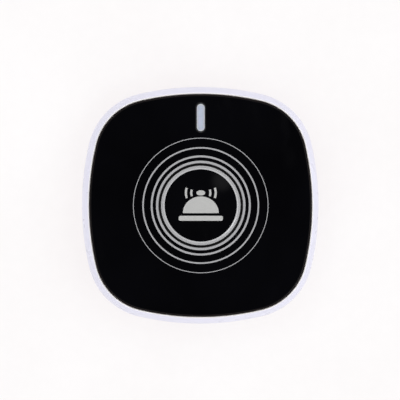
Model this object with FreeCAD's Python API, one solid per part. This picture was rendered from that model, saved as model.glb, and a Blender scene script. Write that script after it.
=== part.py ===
"""Waiter call button: a palm-sized wireless call bell for a restaurant table.

A white pebble-shaped housing in two shells carries a glossy black front panel. A domed push cap
stands in the middle of the panel and presses a tactile switch on the circuit board, and a coil
spring brings it back. A narrow light window above the cap shows that the call was sent. A coin
cell sits under the board, above a bayonet door that turns out of the base with a coin. Four
rubber feet hide the case screws.

Frame: millimetres, +Z up, the origin on the table under the middle of the housing, +Y towards the
light window. Every piece is written to parts/NODE.step at its place in the closed, unpressed unit.
"""

import FreeCAD
import Part
import math
import os

Vector = FreeCAD.Vector
UP = Vector(0, 0, 1)

# ---------------------------------------------------------------- outline of the housing and panel
PANEL_HALF = 38.0  # half the front panel's width across its flat sides
SIDE_R = 90.0  # the four long side arcs of the panel
CORNER_R = 20.0  # the four corner arcs of the panel
BELLY_OUT = 3.0  # how far the housing stands out past the panel where it is widest
# ---------------------------------------------------------------- heights of the stack
FOOT_PROUD = 0.8  # rubber feet below the base
FLOOR_T = 1.8
PARTING_Z = 7.0  # top of the base shell's outer wall
SHADOW_GAP = 0.3  # open line between the two shells
TONGUE_H = 1.2  # the base shell's tongue inside the top shell
BOARD_Z = 9.7  # underside of the circuit board
BOARD_T = 1.0
DECK_UNDER_Z = 13.0
DECK_TOP_Z = 14.4
TAPE_T = 0.2
PANEL_T = 2.0
LIP_PROUD = 0.95  # the top shell's lip above the underside of the panel
# ---------------------------------------------------------------- call cap
CAP_R = 14.0
CAP_GAP = 0.2  # all round, between the cap and the panel
CAP_PROUD = 0.3  # border of the cap above the panel
CAP_T = 2.0
DOME_R = 12.6  # foot of the cap's dome
DOME_STEP = 0.18  # rounded step at the dome's foot
DOME_RISE = 0.42
FLANGE_R = 15.4  # the cap's flange stops it under the deck
PRESS_TRAVEL = 0.5
RUNNING_GAP = 0.05  # flat faces of pieces that part when they move
# ---------------------------------------------------------------- tactile switch and return spring
SWITCH_W = 6.0
SWITCH_H = 2.3
SWITCH_CORNER = 0.6
SWITCH_PLATE_T = 0.25
PLUNGER_R = 1.7
PLUNGER_TOP_Z = 14.1
PLUNGER_L = 2.0
SPRING_R = 7.0
SPRING_WIRE = 0.6
SPRING_TURNS = 3.5
# ---------------------------------------------------------------- light window
WINDOW_W = 3.0
WINDOW_L = 10.0
WINDOW_Y = 30.0
LAMP_YS = (27.6, 32.4)
# ---------------------------------------------------------------- battery and its door
CELL_R = 12.25
CELL_H = 5.0
CELL_Z = 2.55
CAN_T = 0.5  # sheet of the cell's can
LID_R = 10.9
CONTACT_T = 0.25  # sheet of the leaf contacts
DOOR_R = 17.0
DOOR_Z = 0.9
DOOR_T = 1.2
NECK_R = 13.3
LUG_R = 14.9
LUG_SPAN = 38.0  # degrees, each of the door's three lugs
KEEPER_SPAN = 50.0  # degrees, each of the three keepers that hold the lugs
LOCK_DEG = 4.0  # how far the locked lugs stand towards their stops
KEEPER_R = 13.5
WELL_R = 15.2
WELL_T = 1.3
KEEPER_TOP_Z = 3.0
LUG_TOP_Z = 3.8
BAYONETS = 3
SEAL_R = 16.2
SEAL_W = 0.7
SEAL_GROOVE = 0.6
# ---------------------------------------------------------------- fasteners and feet
CASE_SCREW_XY = 25.1
CASE_SCREW_R = 1.3
CASE_SCREW_L = 8.0
CASE_HEAD_R = 2.6
CASE_HEAD_H = 2.0
CASE_HEAD_TOP_Z = 4.0
BOARD_SCREW_R = 0.95
BOARD_SCREW_L = 3.6
BOARD_HEAD_R = 1.8
BOARD_HEAD_H = 1.2
BOARD_SCREW_PLACES = ((-29.5, 0.0), (29.5, 0.0), (0.0, -30.0))
THREAD_GAP = 0.02  # bores of the screws, all round
FOOT_R = 5.0
FOOT_T = 1.6
# ---------------------------------------------------------------- how shapes are built up and cut
ROOT = 0.2  # ribs, bosses and keepers run this far into what carries them
PAST = 1.0  # cutters run this far past the faces that they open
HOOP_IN = -2.0  # the shells' hoops end this far inside the panel's outline
MIDDLE_IN = -1.5  # the shells' flat middles overlap the hoops
RIB_T = 1.0  # ribs of both shells

# ---------------------------------------------------------------- sizes that follow
BASE_Z = FOOT_PROUD
FLOOR_Z = BASE_Z + FLOOR_T
TOP_SHELL_Z = PARTING_Z + SHADOW_GAP
BOARD_TOP_Z = BOARD_Z + BOARD_T
PANEL_Z = DECK_TOP_Z + TAPE_T
PANEL_TOP_Z = PANEL_Z + PANEL_T
CAP_EDGE_Z = PANEL_TOP_Z + CAP_PROUD
CAP_UNDER_Z = CAP_EDGE_Z - CAP_T
SWITCH_TOP_Z = BOARD_TOP_Z + SWITCH_H
DOOR_TOP_Z = DOOR_Z + DOOR_T
SIDE_BACK = SIDE_R - PANEL_HALF  # a side arc's centre lies this far past the middle
CENTRES_APART = SIDE_R - CORNER_R  # from a side arc's centre to the corner arcs' centres
CORNER_C = (math.sqrt(2 * CENTRES_APART**2 - SIDE_BACK**2) - SIDE_BACK) / 2
TANGENT_DEG = math.degrees(math.atan2(CORNER_C, CORNER_C + SIDE_BACK))
SCREW_CIRCLE_R = math.hypot(CASE_SCREW_XY, CASE_SCREW_XY)


# ================================================================ drawing helpers
class Arc:
    """A step of a profile that reaches end along the circle through mid."""

    def __init__(self, mid, end):
        self.mid = mid
        self.end = end


def arc_about(centre, start, end):
    """The Arc from start to end whose circle has this centre, the short way round."""
    radius = math.dist(centre, start)
    lean = [(start[k] + end[k]) / 2 - centre[k] for k in (0, 1)]
    scale = radius / math.hypot(*lean)
    return Arc((centre[0] + lean[0] * scale, centre[1] + lean[1] * scale), end)


def profile_face(steps, place):
    """Face inside a closed profile of points and Arcs, each point put in space by place."""
    edges = []
    first = here = steps[0]
    for step in steps[1:] + [first]:
        end = step.end if isinstance(step, Arc) else step
        a, b = place(here), place(end)
        if isinstance(step, Arc):
            edges.append(Part.Arc(a, place(step.mid), b).toShape())
        elif a.distanceToPoint(b) > 1e-7:
            edges.append(Part.makeLine(a, b))
        here = end
    return Part.Face(Part.Wire(edges))


def turned(steps, sweep=360.0, start=0.0):
    """Solid of revolution about Z of a profile of (radius, height) steps."""
    face = profile_face(steps, lambda p: Vector(p[0], 0, p[1]))
    solid = face.revolve(Vector(), UP, sweep)
    solid.rotate(Vector(), UP, start)
    return solid


def ring_sector(inner, outer, z0, z1, sweep, middle):
    """Square-edged part of a ring, its middle at an angle about Z."""
    steps = [(inner, z0), (outer, z0), (outer, z1), (inner, z1)]
    return turned(steps, sweep, middle - sweep / 2)


def disc(radius, z0, z1, x=0.0, y=0.0):
    """Upright cylinder between two heights."""
    return Part.makeCylinder(radius, z1 - z0, Vector(x, y, z0))


def tube(inner, outer, z0, z1, x=0.0, y=0.0):
    """Upright tube between two heights."""
    return disc(outer, z0, z1, x, y).cut(disc(inner, z0, z1, x, y))


def block(x0, x1, y0, y1, z0, z1):
    """Box between two corners."""
    return Part.makeBox(x1 - x0, y1 - y0, z1 - z0, Vector(x0, y0, z0))


def brick(width, depth, z0, z1, x=0.0, y=0.0):
    """Box of a width and a depth about an upright middle line."""
    return block(x - width / 2, x + width / 2, y - depth / 2, y + depth / 2, z0, z1)


def pill(width, length, z0, z1, x=0.0, y=0.0):
    """Upright prism with straight sides and round ends, its length along Y."""
    r, half = width / 2, length / 2 - width / 2
    steps = [
        (x + r, y - half),
        (x + r, y + half),
        Arc((x, y + half + r), (x - r, y + half)),
        (x - r, y - half),
        Arc((x, y - half - r), (x + r, y - half)),
    ]
    face = profile_face(steps, lambda p: Vector(p[0], p[1], z0))
    return face.extrude(Vector(0, 0, z1 - z0))


def outline_arcs():
    """The eight arcs of the outline as (centre x, centre y, radius, start degrees, sweep)."""
    arcs = []
    for quarter in range(4):
        turn = 90.0 * quarter
        c, s = round(math.cos(math.radians(turn))), round(math.sin(math.radians(turn)))
        arcs.append((-SIDE_BACK * c, -SIDE_BACK * s, SIDE_R, turn - TANGENT_DEG, 2 * TANGENT_DEG))
        corner_x, corner_y = CORNER_C * (c - s), CORNER_C * (s + c)
        arcs.append((corner_x, corner_y, CORNER_R, turn + TANGENT_DEG, 90 - 2 * TANGENT_DEG))
    return arcs


def plate(offset, z0, z1):
    """Prism on the panel's outline, grown by offset."""
    edges = []
    for x, y, radius, start, sweep in outline_arcs():
        edges.append(Part.makeCircle(radius + offset, Vector(x, y, z0), UP, start, start + sweep))
    return Part.Face(Part.Wire(edges)).extrude(Vector(0, 0, z1 - z0))


def hoop(steps):
    """A profile of (offset from the panel's outline, height) steps, carried all the way round."""
    sectors = []
    for x, y, radius, start, sweep in outline_arcs():
        face = profile_face(steps, lambda p: Vector(radius + p[0], 0, p[1]))
        sector = face.revolve(Vector(), UP, sweep)
        sector.rotate(Vector(), UP, start)
        sector.translate(Vector(x, y, 0))
        sectors.append(sector)
    return sectors[0].multiFuse(sectors[1:])


def rib(start, end, z0, z1):
    """Upright rib of the shells along +X, between two distances from the Z axis."""
    return block(start, end, -RIB_T / 2, RIB_T / 2, z0, z1)


def at_angle(shape, angle):
    """Copy of a shape, turned about Z."""
    copy = shape.copy()
    copy.rotate(Vector(), UP, angle)
    return copy


def around(shape, count, start=0.0):
    """Copies of a shape, evenly spaced about Z."""
    return [at_angle(shape, start + 360.0 * k / count) for k in range(count)]


def at_screws(make):
    """What make(x, y) builds, at each of the four case screws."""
    return [make(sx * CASE_SCREW_XY, sy * CASE_SCREW_XY) for sx in (-1, 1) for sy in (-1, 1)]


def joined(first, others):
    """One solid from overlapping ones, with no seams left between coplanar faces."""
    return first.multiFuse(others).removeSplitter()


def carved(body, tools):
    """The body with every tool cut out of it."""
    return body.cut(Part.makeCompound(tools)).removeSplitter()


def level_edges(shape, z, reach=math.inf):
    """The edges of a shape that lie flat at a height, within a reach of the Z axis."""
    found = []
    for edge in shape.Edges:
        box = edge.BoundBox
        flat = abs(box.ZMin - z) < 1e-4 and abs(box.ZMax - z) < 1e-4
        if flat and max(abs(box.XMin), box.XMax, abs(box.YMin), box.YMax) < reach:
            found.append(edge)
    return found


def coil(radius, wire, turns, pitch, runs=12, sides=6):
    """Wire wound about Z in short straight runs, its middle line starting at height 0."""
    points = []
    for k in range(round(turns * runs) + 1):
        angle = 2 * math.pi * k / runs
        points.append(Vector(radius * math.cos(angle), radius * math.sin(angle), pitch * k / runs))
    along = (points[1] - points[0]).normalize()
    level = UP.cross(along).normalize()
    upright = along.cross(level)
    corners = []
    for k in range(sides):
        angle = 2 * math.pi * (k + 0.5) / sides
        corners.append(points[0] + (level * math.cos(angle) + upright * math.sin(angle)) * (wire / 2))
    section = Part.makePolygon(corners + [corners[0]])
    return Part.makePolygon(points).makePipeShell([section], True, True, 1)


def bent_strip(line, thickness, width, angle=0.0):
    """Bent sheet metal from a centre line of (run, height) points, its bends mitred.

    The line lies in the XZ plane and the width runs along Y about it, before the strip is turned
    about Z by an angle.
    """
    normals = []
    for (run_0, height_0), (run_1, height_1) in zip(line, line[1:]):
        length = math.hypot(run_1 - run_0, height_1 - height_0)
        normals.append(((height_0 - height_1) / length, (run_1 - run_0) / length))
    upper, lower = [], []
    for k, (run, height) in enumerate(line):
        (ax, ay), (bx, by) = normals[max(k - 1, 0)], normals[min(k, len(normals) - 1)]
        mitre = thickness / 2 / (1 + ax * bx + ay * by)
        across_x, across_y = (ax + bx) * mitre, (ay + by) * mitre
        upper.append((run + across_x, height + across_y))
        lower.append((run - across_x, height - across_y))
    face = profile_face(upper + lower[::-1], lambda p: Vector(p[0], -width / 2, p[1]))
    return at_angle(face.extrude(Vector(0, width, 0)), angle)


def gull_wing(root, knee, toe, high, low):
    """Middle line of a flat leg: level out of a part's side, then across to a foot on the board."""
    return [(root, high), (knee, high), (knee, low), (toe, low)]


# ================================================================ housing
def make_base_shell():
    """Lower shell: a bowl with screw posts, a battery well and the keepers of the bayonet door."""
    edge_in, edge_r = 0.8, 0.2  # bottom edge inside the panel's outline; softened parting edge
    tongue_in, tongue_out, wall_foot = 0.6, 1.6, -0.4
    tongue_z = PARTING_Z + TONGUE_H
    bowl_z = PARTING_Z - edge_r
    across, rise = BELLY_OUT + edge_in, bowl_z - BASE_Z
    bowl_r = (across**2 + rise**2) / (2 * across)
    wall = hoop([
        (HOOP_IN, BASE_Z),
        (-edge_in, BASE_Z),
        arc_about((BELLY_OUT - bowl_r, bowl_z), (-edge_in, BASE_Z), (BELLY_OUT, bowl_z)),
        (BELLY_OUT - edge_r, PARTING_Z),
        (tongue_out, PARTING_Z),
        (tongue_out, tongue_z),
        (tongue_in, tongue_z),
        (wall_foot, FLOOR_Z),
        (HOOP_IN, FLOOR_Z),
    ])
    well_out, well_top, rib_top = WELL_R + WELL_T, 8.6, 4.6
    collar_w, collar_top = 1.6, 3.6
    post_r, head_bore_r, shank_bore_r = 4.0, 2.8, 1.5
    rib_in, rib_foot = well_out - ROOT, FLOOR_Z - ROOT
    post_reach = SCREW_CIRCLE_R - post_r + ROOT
    adds = [
        plate(MIDDLE_IN, BASE_Z, FLOOR_Z),
        disc(DOOR_R + collar_w, BASE_Z, collar_top),
        disc(well_out, BASE_Z, well_top),
    ]
    adds += at_screws(lambda x, y: disc(post_r, BASE_Z, PARTING_Z, x, y))
    adds += around(rib(rib_in, PANEL_HALF + ROOT, rib_foot, rib_top), 4)
    adds += around(rib(rib_in, post_reach, rib_foot, rib_top), 4, 45.0)
    shell = joined(wall, adds)

    foot_gap, door_gap, seat_gap = 0.15, 0.2, 0.1
    pocket_top = BASE_Z + FOOT_T - FOOT_PROUD
    door_seat_z = DOOR_TOP_Z + seat_gap
    open_z = BASE_Z - PAST
    cuts = [disc(DOOR_R + door_gap, open_z, door_seat_z), disc(WELL_R, open_z, well_top + PAST)]
    cuts += at_screws(lambda x, y: disc(FOOT_R + foot_gap, open_z, pocket_top, x, y))
    cuts += at_screws(lambda x, y: disc(head_bore_r, open_z, CASE_HEAD_TOP_Z, x, y))
    cuts += at_screws(lambda x, y: disc(shank_bore_r, open_z, PARTING_Z + PAST, x, y))
    shell = carved(shell, cuts)

    root_r = WELL_R + ROOT
    keeper = ring_sector(KEEPER_R, root_r, door_seat_z, KEEPER_TOP_Z, KEEPER_SPAN, 0.0)
    stop_sweep, stop_lap = 5.0, 1.0  # degrees; the stop overlaps the end of its keeper
    stop_middle = (KEEPER_SPAN + stop_sweep) / 2 - stop_lap
    stop = ring_sector(KEEPER_R, root_r, door_seat_z, LUG_TOP_Z, stop_sweep, stop_middle)
    guide_gap, guide_w, guide_z = 0.2, 1.2, LUG_TOP_Z + 0.5
    guide = block(CELL_R + guide_gap, root_r, -guide_w / 2, guide_w / 2, guide_z, well_top)
    guides, first_guide = 6, 30.0
    inside = around(keeper.fuse(stop), BAYONETS) + around(guide, guides, first_guide)
    return joined(shell, inside)


def make_top_shell():
    """Upper shell: a curved shoulder, a lip round the panel, and a deck that carries the works."""
    edge_r, lip_gap, lip_z = 0.2, 0.12, PANEL_Z + LIP_PROUD
    lip_out, lip_top, lip_drop, lip_edge = 0.62, 0.38, 0.25, 0.12
    shoulder_z = TOP_SHELL_Z + edge_r
    shoulder_end = (lip_out, lip_z - lip_drop)
    across, rise = BELLY_OUT - shoulder_end[0], shoulder_end[1] - shoulder_z
    shoulder_r = (across**2 + rise**2) / (2 * across)
    rebate_out, rebate_in, wall_head = 1.7, 0.9, -0.2
    tongue_gap = 0.2
    rebate_z = PARTING_Z + TONGUE_H + tongue_gap
    wall = hoop([
        (rebate_out, TOP_SHELL_Z),
        (BELLY_OUT - edge_r, TOP_SHELL_Z),
        (BELLY_OUT, shoulder_z),
        arc_about((BELLY_OUT - shoulder_r, shoulder_z), (BELLY_OUT, shoulder_z), shoulder_end),
        (lip_top, lip_z),
        (lip_gap + lip_edge, lip_z),
        (lip_gap, lip_z - lip_edge),
        (lip_gap, DECK_TOP_Z),
        (HOOP_IN, DECK_TOP_Z),
        (HOOP_IN, DECK_UNDER_Z),
        (wall_head, DECK_UNDER_Z),
        (rebate_in, rebate_z),
        (rebate_out, rebate_z),
    ])
    collar_in, collar_out, collar_z = FLANGE_R + 0.5, FLANGE_R + 1.6, 11.7
    post_r, boss_r, rib_h = 3.3, 2.6, 1.0
    chamber_w, chamber_l, chamber_wall = WINDOW_W + 2.2, WINDOW_L + 1.2, 1.0  # the lamps' chamber
    chamber_z = BOARD_TOP_Z + 0.3
    rib_in, rib_z = collar_out - ROOT, DECK_UNDER_Z - rib_h
    side_rib = rib(rib_in, PANEL_HALF + ROOT, rib_z, DECK_UNDER_Z)
    post_rib = rib(rib_in, SCREW_CIRCLE_R - post_r + ROOT, rib_z, DECK_UNDER_Z)
    adds = [
        plate(MIDDLE_IN, DECK_UNDER_Z, DECK_TOP_Z),
        tube(collar_in, collar_out, collar_z, DECK_UNDER_Z),
        pill(
            chamber_w + 2 * chamber_wall, chamber_l + 2 * chamber_wall,
            chamber_z, DECK_UNDER_Z, 0, WINDOW_Y,
        ),
    ]
    adds += at_screws(lambda x, y: disc(post_r, PARTING_Z, DECK_UNDER_Z, x, y))
    adds += [disc(boss_r, BOARD_TOP_Z, DECK_UNDER_Z, x, y) for x, y in BOARD_SCREW_PLACES]
    adds += [at_angle(side_rib, angle) for angle in (0.0, 180.0, 270.0)]
    adds += around(post_rib, 4, 45.0)
    shell = joined(wall, adds)

    above = DECK_TOP_Z + PAST
    mouth_gap, stem_gap, flange_w, flange_depth = 0.1, 0.1, 2.2, 0.8
    case_bore_z, board_bore_z = 12.4, 13.7  # blind ends of the screws' bores
    cuts = [
        disc(CAP_R + CAP_GAP + mouth_gap, collar_z - PAST, above),
        pill(WINDOW_W + stem_gap, WINDOW_L + stem_gap, BOARD_Z, above, 0, WINDOW_Y),
        pill(chamber_w, chamber_l, BOARD_Z, DECK_UNDER_Z, 0, WINDOW_Y),
        pill(
            WINDOW_W + flange_w, WINDOW_L + flange_w,
            DECK_TOP_Z - flange_depth, above, 0, WINDOW_Y,
        ),
    ]
    case_bore_r, board_bore_r = CASE_SCREW_R + THREAD_GAP, BOARD_SCREW_R + THREAD_GAP
    cuts += at_screws(lambda x, y: disc(case_bore_r, PARTING_Z - PAST, case_bore_z, x, y))
    cuts += [disc(board_bore_r, BOARD_Z, board_bore_z, x, y) for x, y in BOARD_SCREW_PLACES]
    shell = carved(shell, cuts)
    key_in, key_w = FLANGE_R - 0.7, 1.2
    key = block(key_in, collar_in + ROOT, -key_w / 2, key_w / 2, collar_z, DECK_UNDER_Z + ROOT)
    return joined(shell, around(key, 4, 45.0))


def make_front_panel():
    """Glossy plate with a soft outer edge, a round hole for the cap and the window's slot."""
    edge_r, mouth, slot_gap = 0.7, 0.15, 0.06
    below, above = PANEL_Z - PAST, PANEL_TOP_Z + PAST
    hole_r = CAP_R + CAP_GAP
    panel = plate(0.0, PANEL_Z, PANEL_TOP_Z)
    panel = panel.makeFillet(edge_r, level_edges(panel, PANEL_TOP_Z))
    panel = panel.cut(disc(hole_r, below, above))
    panel = panel.makeChamfer(mouth, level_edges(panel, PANEL_TOP_Z, hole_r + mouth))
    return panel.cut(pill(WINDOW_W + slot_gap, WINDOW_L + slot_gap, below, above, 0, WINDOW_Y))


def make_panel_tape():
    """Double-sided sheet between the deck and the panel, cut back round the hole and window."""
    edge_back, hole_back, slot_back = 1.0, 1.2, 0.6
    below, above = DECK_TOP_Z - PAST, PANEL_Z + PAST
    sheet = plate(-edge_back, DECK_TOP_Z, PANEL_Z)
    hole = disc(CAP_R + hole_back, below, above)
    slot = pill(WINDOW_W + slot_back, WINDOW_L + slot_back, below, above, 0, WINDOW_Y)
    return sheet.cut(hole).cut(slot)


def make_light_guide():
    """Frosted bar with round ends, flush with the panel, with a flange that lies in the deck."""
    foot_z, flange_w, flange_t = 12.0, 2.0, 0.75
    stem = pill(WINDOW_W, WINDOW_L, foot_z, PANEL_TOP_Z, 0, WINDOW_Y)
    flange_z = DECK_TOP_Z - flange_t
    flange = pill(WINDOW_W + flange_w, WINDOW_L + flange_w, flange_z, DECK_TOP_Z, 0, WINDOW_Y)
    return stem.fuse(flange).removeSplitter()


def make_rubber_feet():
    """Four round pads with a bevelled rim, in the base's pockets over the case screws."""
    rim = 0.4
    foot = turned([
        (0.0, 0.0),
        (FOOT_R - rim, 0.0),
        (FOOT_R, rim),
        (FOOT_R, FOOT_T),
        (0.0, FOOT_T),
    ])
    return Part.makeCompound(at_screws(lambda x, y: foot.translated(Vector(x, y, 0))))


def screw(radius, length, head_r, head_h):
    """Pan-head screw with a cross recess, its head downwards and its seat at height 0."""
    crown_r, edge_h = 0.7 * head_r, 0.5 * head_h
    slot_w, slot_l, slot_depth = 0.28 * head_r, 1.15 * head_r, 0.6 * head_h
    dome = turned([
        (0.0, -head_h),
        (crown_r, -head_h),
        (head_r, -edge_h),
        (head_r, 0.0),
        (radius, 0.0),
        (radius, length),
        (0.0, length),
    ])
    cross = brick(slot_l, slot_w, -head_h - PAST, slot_depth - head_h)
    return dome.cut(cross.fuse(at_angle(cross, 90.0)))


def make_case_screws():
    """Four screws up through the base's posts into the top shell's."""
    piece = screw(CASE_SCREW_R, CASE_SCREW_L, CASE_HEAD_R, CASE_HEAD_H)
    return Part.makeCompound(
        at_screws(lambda x, y: piece.translated(Vector(x, y, CASE_HEAD_TOP_Z)))
    )


# ================================================================ call cap and switch
def make_call_cap():
    """Domed push cap with a skirt, a stop flange with key slots, a spring seat and a boss."""
    skirt_in, edge = 12.9, 0.25
    flange_z0, flange_z1 = 12.0, DECK_UNDER_Z - RUNNING_GAP
    dome_foot_z = CAP_EDGE_Z + DOME_STEP
    dome_in = DOME_R - DOME_STEP
    dome_r = (dome_in**2 + DOME_RISE**2) / (2 * DOME_RISE)
    apex = (0.0, dome_foot_z + DOME_RISE)
    cap = turned([
        (0.0, CAP_UNDER_Z),
        (skirt_in, CAP_UNDER_Z),
        (skirt_in, flange_z0),
        (FLANGE_R, flange_z0),
        (FLANGE_R, flange_z1),
        (CAP_R, flange_z1),
        (CAP_R, CAP_EDGE_Z - edge),
        (CAP_R - edge, CAP_EDGE_Z),
        (DOME_R, CAP_EDGE_Z),
        (dome_in, dome_foot_z),
        arc_about((0.0, apex[1] - dome_r), (dome_in, dome_foot_z), apex),
    ])
    seat_r, seat_t, seat_z = SPRING_R + 0.6, 0.9, CAP_UNDER_Z - 1.0
    boss_r, boss_z = 2.2, PLUNGER_TOP_Z + RUNNING_GAP
    brace_t, braces = 0.8, 6  # ribs from the spring seat to the skirt
    root_z = CAP_UNDER_Z + ROOT
    brace_in, brace_out = seat_r + seat_t - ROOT, skirt_in + ROOT
    brace = block(brace_in, brace_out, -brace_t / 2, brace_t / 2, seat_z, root_z)
    adds = [disc(boss_r, boss_z, root_z), tube(seat_r, seat_r + seat_t, seat_z, root_z)]
    cap = joined(cap, adds + around(brace, braces))
    key_in, key_w = FLANGE_R - 1.0, 1.6
    key_slot = block(
        key_in, FLANGE_R + PAST, -key_w / 2, key_w / 2,
        flange_z0 - PAST, flange_z1 + PAST,
    )
    return carved(cap, around(key_slot, 4, 45.0))


def make_return_spring():
    """Compression coil round the switch, from the board to the cap's seat."""
    end_gap, fill = 0.03, 0.985  # the coil stands just clear of the board and the seat
    climb = (CAP_UNDER_Z - BOARD_TOP_Z - SPRING_WIRE) * fill
    spring = coil(SPRING_R, SPRING_WIRE, SPRING_TURNS, climb / SPRING_TURNS)
    spring.translate(Vector(0, 0, BOARD_TOP_Z + SPRING_WIRE / 2 + end_gap))
    return spring


def square_block(width, z0, z1):
    """Square block of the switch, with cut upright corners."""
    body = brick(width, width, z0, z1)
    upright = [edge for edge in body.Edges if edge.BoundBox.ZLength > (z1 - z0) / 2]
    return body.makeChamfer(SWITCH_CORNER, upright)


def switch_pegs(height):
    """The four square pegs that rivet the cover plate on the switch."""
    peg_w, inset = 0.6, 0.9
    place = SWITCH_W / 2 - inset
    return [brick(peg_w, peg_w, SWITCH_TOP_Z, SWITCH_TOP_Z + height, sx * place, sy * place)
            for sx in (-1, 1) for sy in (-1, 1)]


def make_switch_body():
    """Square moulded switch housing with cut corners and a bore for the plunger."""
    bore_gap, peg_h = 0.1, 0.4
    body = square_block(SWITCH_W, BOARD_TOP_Z, SWITCH_TOP_Z)
    bore_z = PLUNGER_TOP_Z - PLUNGER_L - PRESS_TRAVEL - RUNNING_GAP
    bore = disc(PLUNGER_R + bore_gap, bore_z, SWITCH_TOP_Z + PAST)
    return joined(body.cut(bore), switch_pegs(peg_h))


def make_switch_plate():
    """Steel cover plate of the switch, riveted on by the body's four pegs."""
    plate_w, hole_gap = SWITCH_W - 0.2, 0.15
    sheet = square_block(plate_w, SWITCH_TOP_Z, SWITCH_TOP_Z + SWITCH_PLATE_T)
    hole = disc(PLUNGER_R + hole_gap, BOARD_TOP_Z, PLUNGER_TOP_Z)
    return carved(sheet, [hole] + switch_pegs(PAST))


def make_switch_plunger():
    """Round plunger of the switch, with a bevelled top edge."""
    edge = 0.25
    return turned([
        (0.0, PLUNGER_TOP_Z - PLUNGER_L),
        (PLUNGER_R, PLUNGER_TOP_Z - PLUNGER_L),
        (PLUNGER_R, PLUNGER_TOP_Z - edge),
        (PLUNGER_R - edge, PLUNGER_TOP_Z),
        (0.0, PLUNGER_TOP_Z),
    ])


def make_switch_pins():
    """Four gull-wing legs from the switch's sides down to the board."""
    thickness, width, spread = 0.2, 0.7, 4.5
    root, knee, toe = SWITCH_W / 2, SWITCH_W / 2 + 0.5, SWITCH_W / 2 + 1.4
    line = gull_wing(root, knee, toe, BOARD_TOP_Z + 1.0, BOARD_TOP_Z + thickness / 2)
    pins = []
    for y in (-spread / 2, spread / 2):
        for turn in (0.0, 180.0):
            pins.append(bent_strip(line, thickness, width, turn).translated(Vector(0, y, 0)))
    return Part.makeCompound(pins)


# ================================================================ circuit board and its parts
def make_circuit_board():
    """Rounded-square board with its corners cut round the posts and holes for its screws."""
    edge_back, post_cut_r, hole_r = 4.0, 4.2, BOARD_SCREW_R + 0.25
    below, above = BOARD_Z - PAST, BOARD_TOP_Z + PAST
    board = plate(-edge_back, BOARD_Z, BOARD_TOP_Z)
    cuts = at_screws(lambda x, y: disc(post_cut_r, below, above, x, y))
    cuts += [disc(hole_r, below, above, x, y) for x, y in BOARD_SCREW_PLACES]
    return carved(board, cuts)


def make_board_screws():
    """Three small screws up through the board into the top shell's bosses."""
    piece = screw(BOARD_SCREW_R, BOARD_SCREW_L, BOARD_HEAD_R, BOARD_HEAD_H)
    return Part.makeCompound([piece.translated(Vector(x, y, BOARD_Z)) for x, y in BOARD_SCREW_PLACES])


def make_signal_lamps():
    """Two surface-mounted lamps under the window, each a base with a clear lens on it."""
    base_l, lens_l, width, base_h, height = 2.0, 1.3, 1.25, 0.35, 0.8
    lamps = []
    for y in LAMP_YS:
        base = brick(base_l, width, BOARD_TOP_Z, BOARD_TOP_Z + base_h, 0, y)
        lens = brick(lens_l, width, BOARD_TOP_Z, BOARD_TOP_Z + height, 0, y)
        lamps.append(base.fuse(lens).removeSplitter())
    return Part.makeCompound(lamps)


def chip(width, depth, height, pins, pitch, x, y):
    """Packaged chip under the board: a body with cut edges and a row of legs on each long side."""
    stand_off, edge_c, leg_w, leg_t = 0.1, 0.25, 0.4, 0.2
    top = BOARD_Z - stand_off
    low = top - height
    body = brick(width, depth, low, top)
    body = body.makeChamfer(edge_c, level_edges(body, low))
    knee, toe = depth / 2 + 0.3, depth / 2 + 0.9
    line = gull_wing(depth / 2 - ROOT, knee, toe, (low + top) / 2, BOARD_Z - leg_t / 2)
    legs = []
    for k in range(pins):
        along = Vector((k - (pins - 1) / 2) * pitch, 0, 0)
        legs += [bent_strip(line, leg_t, leg_w, turn).translated(along) for turn in (90.0, -90.0)]
    return joined(body, legs).translated(Vector(x, y, 0))


def make_controller_chip():
    """Eight-legged controller."""
    return chip(width=5.0, depth=4.0, height=1.4, pins=4, pitch=1.27, x=24.0, y=7.0)


def make_radio_chip():
    """Ten-legged radio transmitter."""
    return chip(width=5.0, depth=4.0, height=1.2, pins=5, pitch=1.0, x=-24.0, y=7.0)


def make_crystal_can():
    """Low metal can with round ends on a flat base plate, under the board."""
    x, y, width, length, height, edge_c = -24.0, -8.0, 4.0, 10.0, 3.6, 0.5
    plate_w, plate_l, plate_t = 4.8, 11.4, 0.5
    low, plate_z = BOARD_Z - height, BOARD_Z - plate_t
    can = pill(width, length, low, plate_z, x, y)
    can = can.makeChamfer(edge_c, level_edges(can, low))
    return joined(can, [pill(plate_w, plate_l, plate_z, BOARD_Z, x, y)])


def make_spring_antenna():
    """Short coil of wire lying under the board, with both ends turned up into it."""
    radius, wire, turns, pitch, stand_off = 2.0, 0.6, 6.0, 2.4, 0.9
    half, y = turns * pitch / 2, -22.5
    wire_z = BOARD_Z - stand_off  # where the winding comes nearest to the board
    winding = coil(radius, wire, turns, pitch)
    winding.rotate(Vector(), Vector(0, 1, 0), -90.0)
    winding.translate(Vector(half, y, wire_z - radius))
    ends = [disc(wire / 2, wire_z - ROOT, BOARD_Z, side * half, y) for side in (-1, 1)]
    return winding.multiFuse(ends)


def small_parts(size, places):
    """Surface-mounted blocks under the board, each turned a quarter where its place says so."""
    length, width, height = size
    blocks = []
    for x, y, upright in places:
        w, d = (width, length) if upright else (length, width)
        blocks.append(brick(w, d, BOARD_Z - height, BOARD_Z, x, y))
    return Part.makeCompound(blocks)


def make_chip_resistors():
    """Flat resistors in two rows beside the chips."""
    y, pitch = 13.0, 2.2
    rows = ((19.5, 4), (-26.0, 3))  # first X and count of each row
    places = [(x + pitch * k, y, True) for x, count in rows for k in range(count)]
    return small_parts((2.0, 1.25, 0.5), places)


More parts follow.
